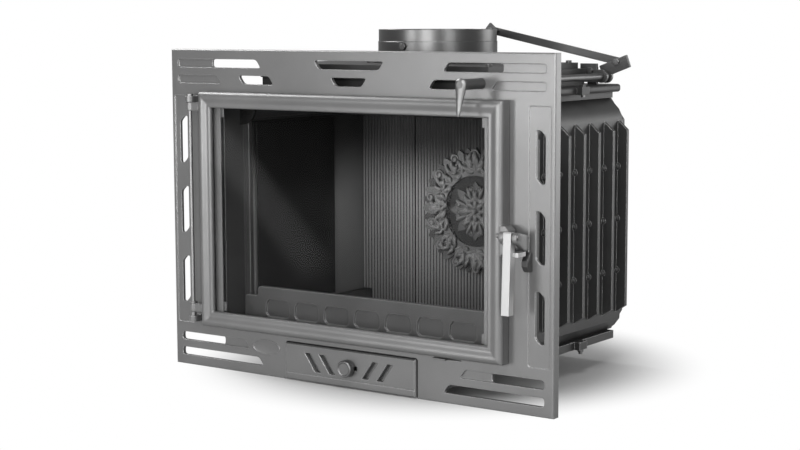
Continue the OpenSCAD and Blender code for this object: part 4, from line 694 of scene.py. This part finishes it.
def apply_modifier(piece, kind, **settings):
    only(piece)
    modifier = piece.modifiers.new(kind.lower(), kind)
    for key, value in settings.items():
        setattr(modifier, key, value)
    bpy.ops.object.modifier_apply(modifier=modifier.name)


def round_edges(piece, width):
    """A rounding, its width in millimetres, on every sharp edge."""
    apply_modifier(
        piece, "BEVEL", width=width * MM, segments=2, limit_method="ANGLE", angle_limit=math.radians(30),
        use_clamp_overlap=True,
    )


def even_shading(piece):
    """Keeps large flat faces flat beside their small roundings."""
    apply_modifier(piece, "WEIGHTED_NORMAL", keep_sharp=True)


def settle(piece, degrees=38):
    """Places the origin, turns normals outwards and shades smooth up to an angle."""
    only(piece)
    bpy.ops.object.transform_apply(location=True, rotation=True, scale=True)
    in_edit(
        piece,
        (bpy.ops.mesh.remove_doubles, {"threshold": WELD}),
        (bpy.ops.mesh.normals_make_consistent, {"inside": False}),
    )
    only(piece)
    bpy.ops.object.shade_smooth_by_angle(angle=math.radians(degrees))


def twin(piece, shift=(0, 0, 0), turn=0.0, scale=(1, 1, 1)):
    """A copy with its own mesh: sized, then turned in the plane of the front, then moved."""
    copy = link_new(piece.name, piece.data.copy())
    copy.matrix_world = (
        Matrix.Translation(Vector(shift)) @ Matrix.Rotation(turn, 4, "Y") @ Matrix.Diagonal((*scale, 1))
    )
    only(copy)
    bpy.ops.object.transform_apply(location=True, rotation=True, scale=True)
    return copy


def drop(*pieces):
    """Removes models that were only made to be copied."""
    for piece in pieces:
        bpy.data.objects.remove(piece)


def join(name, parts):
    """Several meshes as one piece."""
    bpy.ops.object.select_all(action="DESELECT")
    for part in parts:
        part.select_set(True)
    bpy.context.view_layer.objects.active = parts[0]
    bpy.ops.object.join()
    parts[0].name = name
    parts[0].data.name = name
    return parts[0]


def drawn_rod(name, path, radii, thick, around=4, between=4):
    """A rod drawn along a smooth path; the radii are shares of its thickness at the path's points."""
    bpy.ops.object.select_all(action="DESELECT")
    bpy.ops.curve.primitive_nurbs_path_add(location=(0, 0, 0))
    rod = bpy.context.object
    rod.name = name
    curve = rod.data
    curve.splines.clear()
    spline = curve.splines.new("NURBS")
    spline.points.add(len(path) - 1)
    for point, at, share in zip(spline.points, path, radii):
        point.co = (*at, 1.0)
        point.radius = share
    spline.order_u = 3
    spline.use_endpoint_u = True
    curve.resolution_u = between
    curve.bevel_depth = thick
    curve.bevel_resolution = around
    curve.use_fill_caps = True
    bpy.ops.object.convert(target="MESH")
    return rod


def dress(piece, finish, *nodes):
    """A finished piece gets its finish and slot, rides on the body of its nodes and stands for them."""
    wear(piece, finish)
    for face in piece.data.polygons:
        face.material_index = 0
    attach(piece, frame["nodes"][nodes[0]]["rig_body"])
    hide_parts(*nodes)


def merged_copy(node):
    """A copy of a CAD mesh with its doubled corners merged and its flat faces joined."""
    piece = link_new(node + "_rounded", frame["nodes"][node].data.copy())
    in_edit(
        piece,
        (bpy.ops.mesh.remove_doubles, {"threshold": WELD}),
        (bpy.ops.mesh.dissolve_limited, {"angle_limit": math.radians(1.0)}),
    )
    return piece


def rounded_copy(node, finish, width):
    """A casting or fitting with real roundings in the place of its sharp solid."""
    piece = merged_copy(node)
    round_edges(piece, width)
    settle(piece)
    even_shading(piece)
    dress(piece, finish, node)
    return piece


# Floor and card

def make_floor():
    floor = primitive(bpy.ops.mesh.primitive_plane_add, "floor", size=FLOOR_SIZE)
    floor.data.materials.append(floor_finish("pale_floor"))


def make_reflection_card():
    """A slanting glow in front of the insert on the left, seen only as the streak on the door's glass."""
    card = primitive(bpy.ops.mesh.primitive_plane_add, "reflection_card", size=1)
    middle = (CARD_TOP + CARD_FOOT) / 2
    up = (CARD_TOP - CARD_FOOT).normalized()
    right = up.cross((CARD_AIM - middle).normalized()).normalized()
    turn = Matrix((right, up, right.cross(up))).transposed().to_4x4()
    size = Matrix.Diagonal((CARD_WIDTH, (CARD_TOP - CARD_FOOT).length, 1, 1))
    card.matrix_world = Matrix.Translation(middle) @ turn @ size
    card.data.materials.append(card_finish("soft_glow"))
    card.visible_camera = False
    card.visible_diffuse = False
    card.visible_transmission = False
    card.visible_shadow = False


# Pieces

def make_damper_lever():
    """The drop-shaped lever that hangs from the damper's shaft in front of the plate, on a round hub."""
    low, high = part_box("damper_handle")
    origin = Vector(((low.x + high.x) / 2, low.y, high.z))
    path = [origin + Vector(at) * MM for *at, _ in LEVER_LINE]
    lever = drawn_rod("damper_lever", path, [share for *_, share in LEVER_LINE], LEVER_RADIUS * MM, 5, 6)
    flatten(lever, LEVER_FLATNESS, origin + LEVER_MIDDLE * MM * REAR)
    hub = primitive(
        bpy.ops.mesh.primitive_cylinder_add, "hub",
        vertices=32, radius=HUB_RADIUS * MM, depth=HUB_LENGTH * MM, location=origin + Vector(HUB_AT) * MM,
        rotation=(math.pi / 2, 0, 0),
    )
    inset(hub, FRONT, (1.6, 0.7), (1.2, -0.6))
    round_edges(hub, 0.5)
    lever = join("damper_lever", [lever, hub])
    settle(lever, 50)
    dress(lever, "lever", "damper_handle")


def make_leaf(length, width):
    """One fleshy leaf with five lobes and a rib, that points up from the origin in the plane y = 0."""
    lobes = []
    for turn, reach, fat in LEAF_LOBES:
        tip = length * reach
        bow = 0.16 * tip * (1 if turn > 0 else -1 if turn < 0 else 0)
        path = [
            Vector((0, 0, 0)),
            Vector((bow, -0.4 * width, 0.35 * tip)),
            Vector((bow, -0.55 * width, 0.7 * tip)),
            Vector((0.2 * bow, -0.25 * width, 0.95 * tip)),
            Vector((-0.2 * bow, 0, tip)),
        ]
        lobe = drawn_rod("lobe", path, [0.45, 0.9 * fat, fat, 0.5 * fat, 0.05], 0.42 * width, 2, 3)
        flatten(lobe, 0.6)
        lobes.append(twin(lobe, turn=turn))
        drop(lobe)
    return join("leaf", lobes)


def make_scroll(size, thick):
    """A C-scroll with a bead in its eye, in the plane y = 0, that rolls up beside the origin."""
    path = []
    radii = []
    for i in range(SCROLL_POINTS):
        t = i / (SCROLL_POINTS - 1)
        reach = size * (1 - 0.82 * t)
        angle = -0.5 * math.pi + 3.1 * math.pi * t
        forward = 0.5 * thick * math.sin(math.pi * t)
        path.append(Vector((size + reach * math.cos(angle), -forward, reach * math.sin(angle) + size)))
        radii.append(0.35 + 0.75 * math.sin(math.pi * (0.12 + 0.7 * t)))
    scroll = drawn_rod("scroll", path, radii, thick, 2, 3)
    eye = primitive(
        bpy.ops.mesh.primitive_uv_sphere_add, "eye",
        segments=14, ring_count=9, radius=1.5 * thick, location=(size, 0, size),
    )
    trim(eye, 0.2 * thick)
    return join("scroll", [scroll, eye])


def make_rosette(radius, thick):
    """A round flower of bulging petals with a domed heart, in the plane y = 0."""
    path = [
        Vector((0, 0, 0.1 * radius)),
        Vector((0, -thick, 0.4 * radius)),
        Vector((0, -1.1 * thick, 0.75 * radius)),
        Vector((0, -0.4 * thick, 0.98 * radius)),
        Vector((0, 0, radius)),
    ]
    petal = drawn_rod("petal", path, [0.3, 0.8, 1.1, 0.75, 0.1], 0.24 * radius, 3, 3)
    flatten(petal, 0.55)
    parts = [twin(petal, turn=2 * math.pi * i / FLOWER_PETALS) for i in range(FLOWER_PETALS)]
    drop(petal)
    heart = primitive(
        bpy.ops.mesh.primitive_uv_sphere_add, "heart",
        segments=20, ring_count=12, radius=0.3 * radius, location=(0, -0.8 * thick, 0),
    )
    pick(heart, facing(FRONT, 0.6))
    bpy.ops.mesh.inset(thickness=0.05 * radius, depth=-0.04 * radius, use_individual=True)
    done()
    return join("rosette", parts + [heart])


def make_rim(wide, tall):
    """Two oval mouldings of the ornament and the row of beads between them."""
    ring = primitive(
        bpy.ops.mesh.primitive_torus_add, "ring",
        major_segments=96, minor_segments=10, major_radius=wide, minor_radius=RIM_RADIUS * MM,
        rotation=(math.pi / 2, 0, 0),
    )
    parts = [
        twin(ring, scale=(1, 1.3, tall / wide)),
        twin(ring, scale=(0.86, 0.7, 0.88 * tall / wide)),
    ]
    bead = primitive(
        bpy.ops.mesh.primitive_uv_sphere_add, "bead", segments=10, ring_count=7, radius=BEAD_RADIUS * MM,
    )
    trim(bead, BEAD_DEPTH * MM)
    for i in range(RIM_BEADS):
        turn = 2 * math.pi * i / RIM_BEADS
        parts.append(twin(bead, shift=(0.93 * wide * math.cos(turn), -1.6 * MM, 0.94 * tall * math.sin(turn))))
    drop(ring, bead)
    return parts


def make_wreath(wide, tall, leaf, scroll, big_leaf):
    """Leaves and scrolls in turn round the rim, and a large leaf at each end of its two axes."""
    def beyond_rim(turn, reach, relief):
        stretch = 1 + 0.8 * (reach - 1)
        return Vector((math.sin(turn) * wide * reach, -relief * MM, math.cos(turn) * tall * stretch))

    parts = []
    for i in range(WREATH_LEAVES):
        turn = 2 * math.pi * i / WREATH_LEAVES
        hand, reach, relief, size = LEAF_KINDS[i % 2]
        size *= 1.12 - 0.14 * abs(math.sin(turn))
        at = beyond_rim(turn, reach, relief)
        parts.append(twin(leaf, shift=at, turn=turn + LEAF_LEAN * hand, scale=(size, 1.2, size)))
        turn += math.pi / WREATH_LEAVES
        at = beyond_rim(turn, SCROLL_REACH[i % 2], 2.4)
        parts.append(twin(scroll, shift=at, turn=turn, scale=(hand * 0.9, 1.2, 0.9)))
    for turn in (0, math.pi, 0.5 * math.pi, -0.5 * math.pi):
        parts.append(twin(big_leaf, shift=beyond_rim(turn, 1, 2), turn=turn, scale=(0.9, 1, 0.9)))
    return parts


def make_flower(wide, tall, leaf, scroll):
    """A rosette inside the rim, with a leaf and a scroll behind each petal."""
    rosette = make_rosette(0.3 * wide, 3.2 * MM)
    parts = [twin(rosette, shift=(0, -3.4 * MM, 0))]
    drop(rosette)
    raised = Vector((0, -3.2 * MM, 0))
    for i in range(FLOWER_PETALS):
        turn = 2 * math.pi * (i + 0.5) / FLOWER_PETALS
        hand = 1 if i % 2 else -1
        at = Vector((math.sin(turn) * wide * 0.27, 0, math.cos(turn) * tall * 0.27))
        parts.append(twin(leaf, shift=at + raised, turn=turn, scale=(0.72, 0.8, 0.8)))
        parts.append(twin(scroll, shift=at * 1.75 + raised, turn=turn, scale=(0.62 * hand, 0.8, 0.62)))
    return parts


def make_ornament():
    """The leafy oval on the rear wall: a beaded rim, a wreath of leaves and scrolls, and a flower inside."""
    low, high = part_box("oval_ornament")
    half_width = (high.x - low.x) / 2
    half_height = (high.z - low.z) / 2
    rim = (RIM_WIDTH * half_width, RIM_HEIGHT * half_height)
    leaf = make_leaf(half_height * 0.3, 12 * MM)
    scroll = make_scroll(half_height * 0.085, 2.5 * MM)
    big_leaf = make_leaf(half_height * 0.36, 15 * MM)
    wreath = make_wreath(*rim, leaf, scroll, big_leaf)
    wreath = join("oval_wreath", make_rim(*rim) + wreath + make_flower(*rim, leaf, scroll))
    drop(leaf, scroll, big_leaf)
    for vertex in wreath.data.vertices:
        vertex.co.y = min(vertex.co.y, 0.0)
    wreath.matrix_world = Matrix.Translation(((low.x + high.x) / 2, high.y, (low.z + high.z) / 2))
    settle(wreath, 60)
    base = rounded_copy("oval_ornament", "ornament", 0.6)
    wreath = join("oval_wreath", [wreath, base])
    dress(wreath, "ornament", "oval_ornament")


def make_side_plate():
    """The near-black plate of soot and painted shade in front of the left side liner, which ends before the corner
    of the rear wall.
    """
    low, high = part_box("side_liner_left")
    margin = SIDE_PLATE_MARGIN * MM
    deep = SIDE_PLATE_SHARE * (high.y - low.y)
    plate = primitive(
        bpy.ops.mesh.primitive_cube_add, "sooted_side_plate",
        size=1, location=(high.x + SIDE_PLATE_MIDDLE * MM, low.y + deep / 2 + margin, (low.z + high.z) / 2),
        scale=(SIDE_PLATE_THICK * MM, deep, high.z - low.z - 2 * margin),
    )
    inset(plate, RIGHT, (26, 0), (4, -0.5))
    round_edges(plate, 0.4)
    settle(plate)
    # Near-black: soot and painted shade on the left side of the chamber
    wear(plate, "soot")
    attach(plate, "insert")


def make_ring_corner(name, side):
    """A gusset that closes the upper corner between the square front ring and the rounded shoulder."""
    x, y, z = GUSSET_AT
    gusset = primitive(
        bpy.ops.mesh.primitive_cube_add, name,
        size=1, location=spot(side * x, y, z), scale=[length * MM for length in GUSSET_SIZE],
    )
    corner = spot(side * (x - GUSSET_SIZE[0] / 2), y, z - GUSSET_SIZE[2] / 2)

    def on_corner(*ends):
        return all(abs(end.x - corner.x) < MM and abs(end.z - corner.z) < MM for end in ends)

    pick(gusset, on_corner, "EDGE")
    bpy.ops.mesh.bevel(offset=GUSSET_CUT * MM, segments=6, affect="EDGES")
    done()
    round_edges(gusset, 0.6)
    settle(gusset)
    # Near-black: soot and painted shade in the upper corner
    wear(gusset, "soot")
    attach(gusset, "insert")


def make_moulding(back, low, high):
    """The soft, pillow-like moulding: a blank whose front is inset along the section, hollow in the middle."""
    ring = primitive(
        bpy.ops.mesh.primitive_cube_add, "moulding",
        size=1, location=(0, back - BLANK_MIDDLE * MM, (low.z + high.z) / 2),
        scale=(2 * DOOR_HALF * MM, BLANK_THICK * MM, high.z - low.z),
    )
    pick(ring, facing(REAR))
    bpy.ops.mesh.inset(thickness=FRAME_SECTION[-1][0] * MM)
    bpy.ops.mesh.delete(type="FACE")
    done()

    pick(ring, facing(FRONT))
    across, out = 0.0, FRAME_BACK + BLANK_MIDDLE + BLANK_THICK / 2
    for next_across, next_out in FRAME_SECTION:
        bpy.ops.mesh.inset(thickness=(next_across - across) * MM, depth=(next_out - out) * MM)
        across, out = next_across, next_out
    bpy.ops.mesh.delete(type="FACE")
    bpy.ops.mesh.select_mode(type="EDGE")
    bpy.ops.mesh.select_all(action="DESELECT")
    bpy.ops.mesh.select_non_manifold()
    bpy.ops.mesh.bridge_edge_loops()
    done()

    mitre = 0.02 * MM
    pick(ring, lambda a, b: abs(a.x - b.x) > mitre and abs(a.z - b.z) > mitre, "EDGE")
    bpy.ops.mesh.mark_sharp()
    done()
    settle(ring, 50)
    return ring


def make_door_frame():
    """The door's frame with its moulding over a copy of the CAD mesh, whose own front is set back behind it."""
    low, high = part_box("door_frame")
    back = PLATE_FACE.y - FRAME_BACK * MM
    piece = merged_copy("door_frame")
    for vertex in piece.data.vertices:
        away = abs(vertex.co.x) / MM
        forward = (PLATE_FACE.y - vertex.co.y) / MM
        on_side = away > DOOR_HALF - 0.1 and forward < FRAME_SIDE
        if FRAME_BACK < forward < FRAME_FRONT and away < DOOR_HALF + 0.05 and not on_side:
            vertex.co.y = back
    round_edges(piece, 0.8)
    settle(piece)
    piece = join("door_frame_moulded", [make_moulding(back, low, high), piece])
    even_shading(piece)
    dress(piece, "frame", "door_frame")


def make_cartouche():
    """The oval at the left of the drawer, left bare: a flat field inside a raised rim."""
    half_width, half_height, half_thick = (length * MM for length in CARTOUCHE_SIZE)
    oval = primitive(
        bpy.ops.mesh.primitive_cylinder_add, "bare_cartouche",
        vertices=64, radius=1, depth=2, location=spot(*CARTOUCHE_AT), rotation=(math.pi / 2, 0, 0),
        scale=(half_width, half_height, half_thick),
    )
    inset(oval, FRONT, (1.3, 0), (0.6, -0.5))
    round_edges(oval, 0.3)
    settle(oval)
    wear(oval, "plate")
    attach(oval, frame["nodes"]["front_plate"]["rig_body"])


bpy.context.scene.view_settings.view_transform = "Standard"
make_camera()
make_world()
make_floor()
make_lights()
make_reflection_card()

finishes = make_finishes()
paint_nodes()
make_damper_lever()
make_ornament()
make_side_plate()
make_ring_corner("ring_gusset_left", -1)
make_ring_corner("ring_gusset_right", 1)
make_door_frame()
make_cartouche()
for node, (finish, width) in ROUNDED.items():
    rounded_copy(node, finish, width)
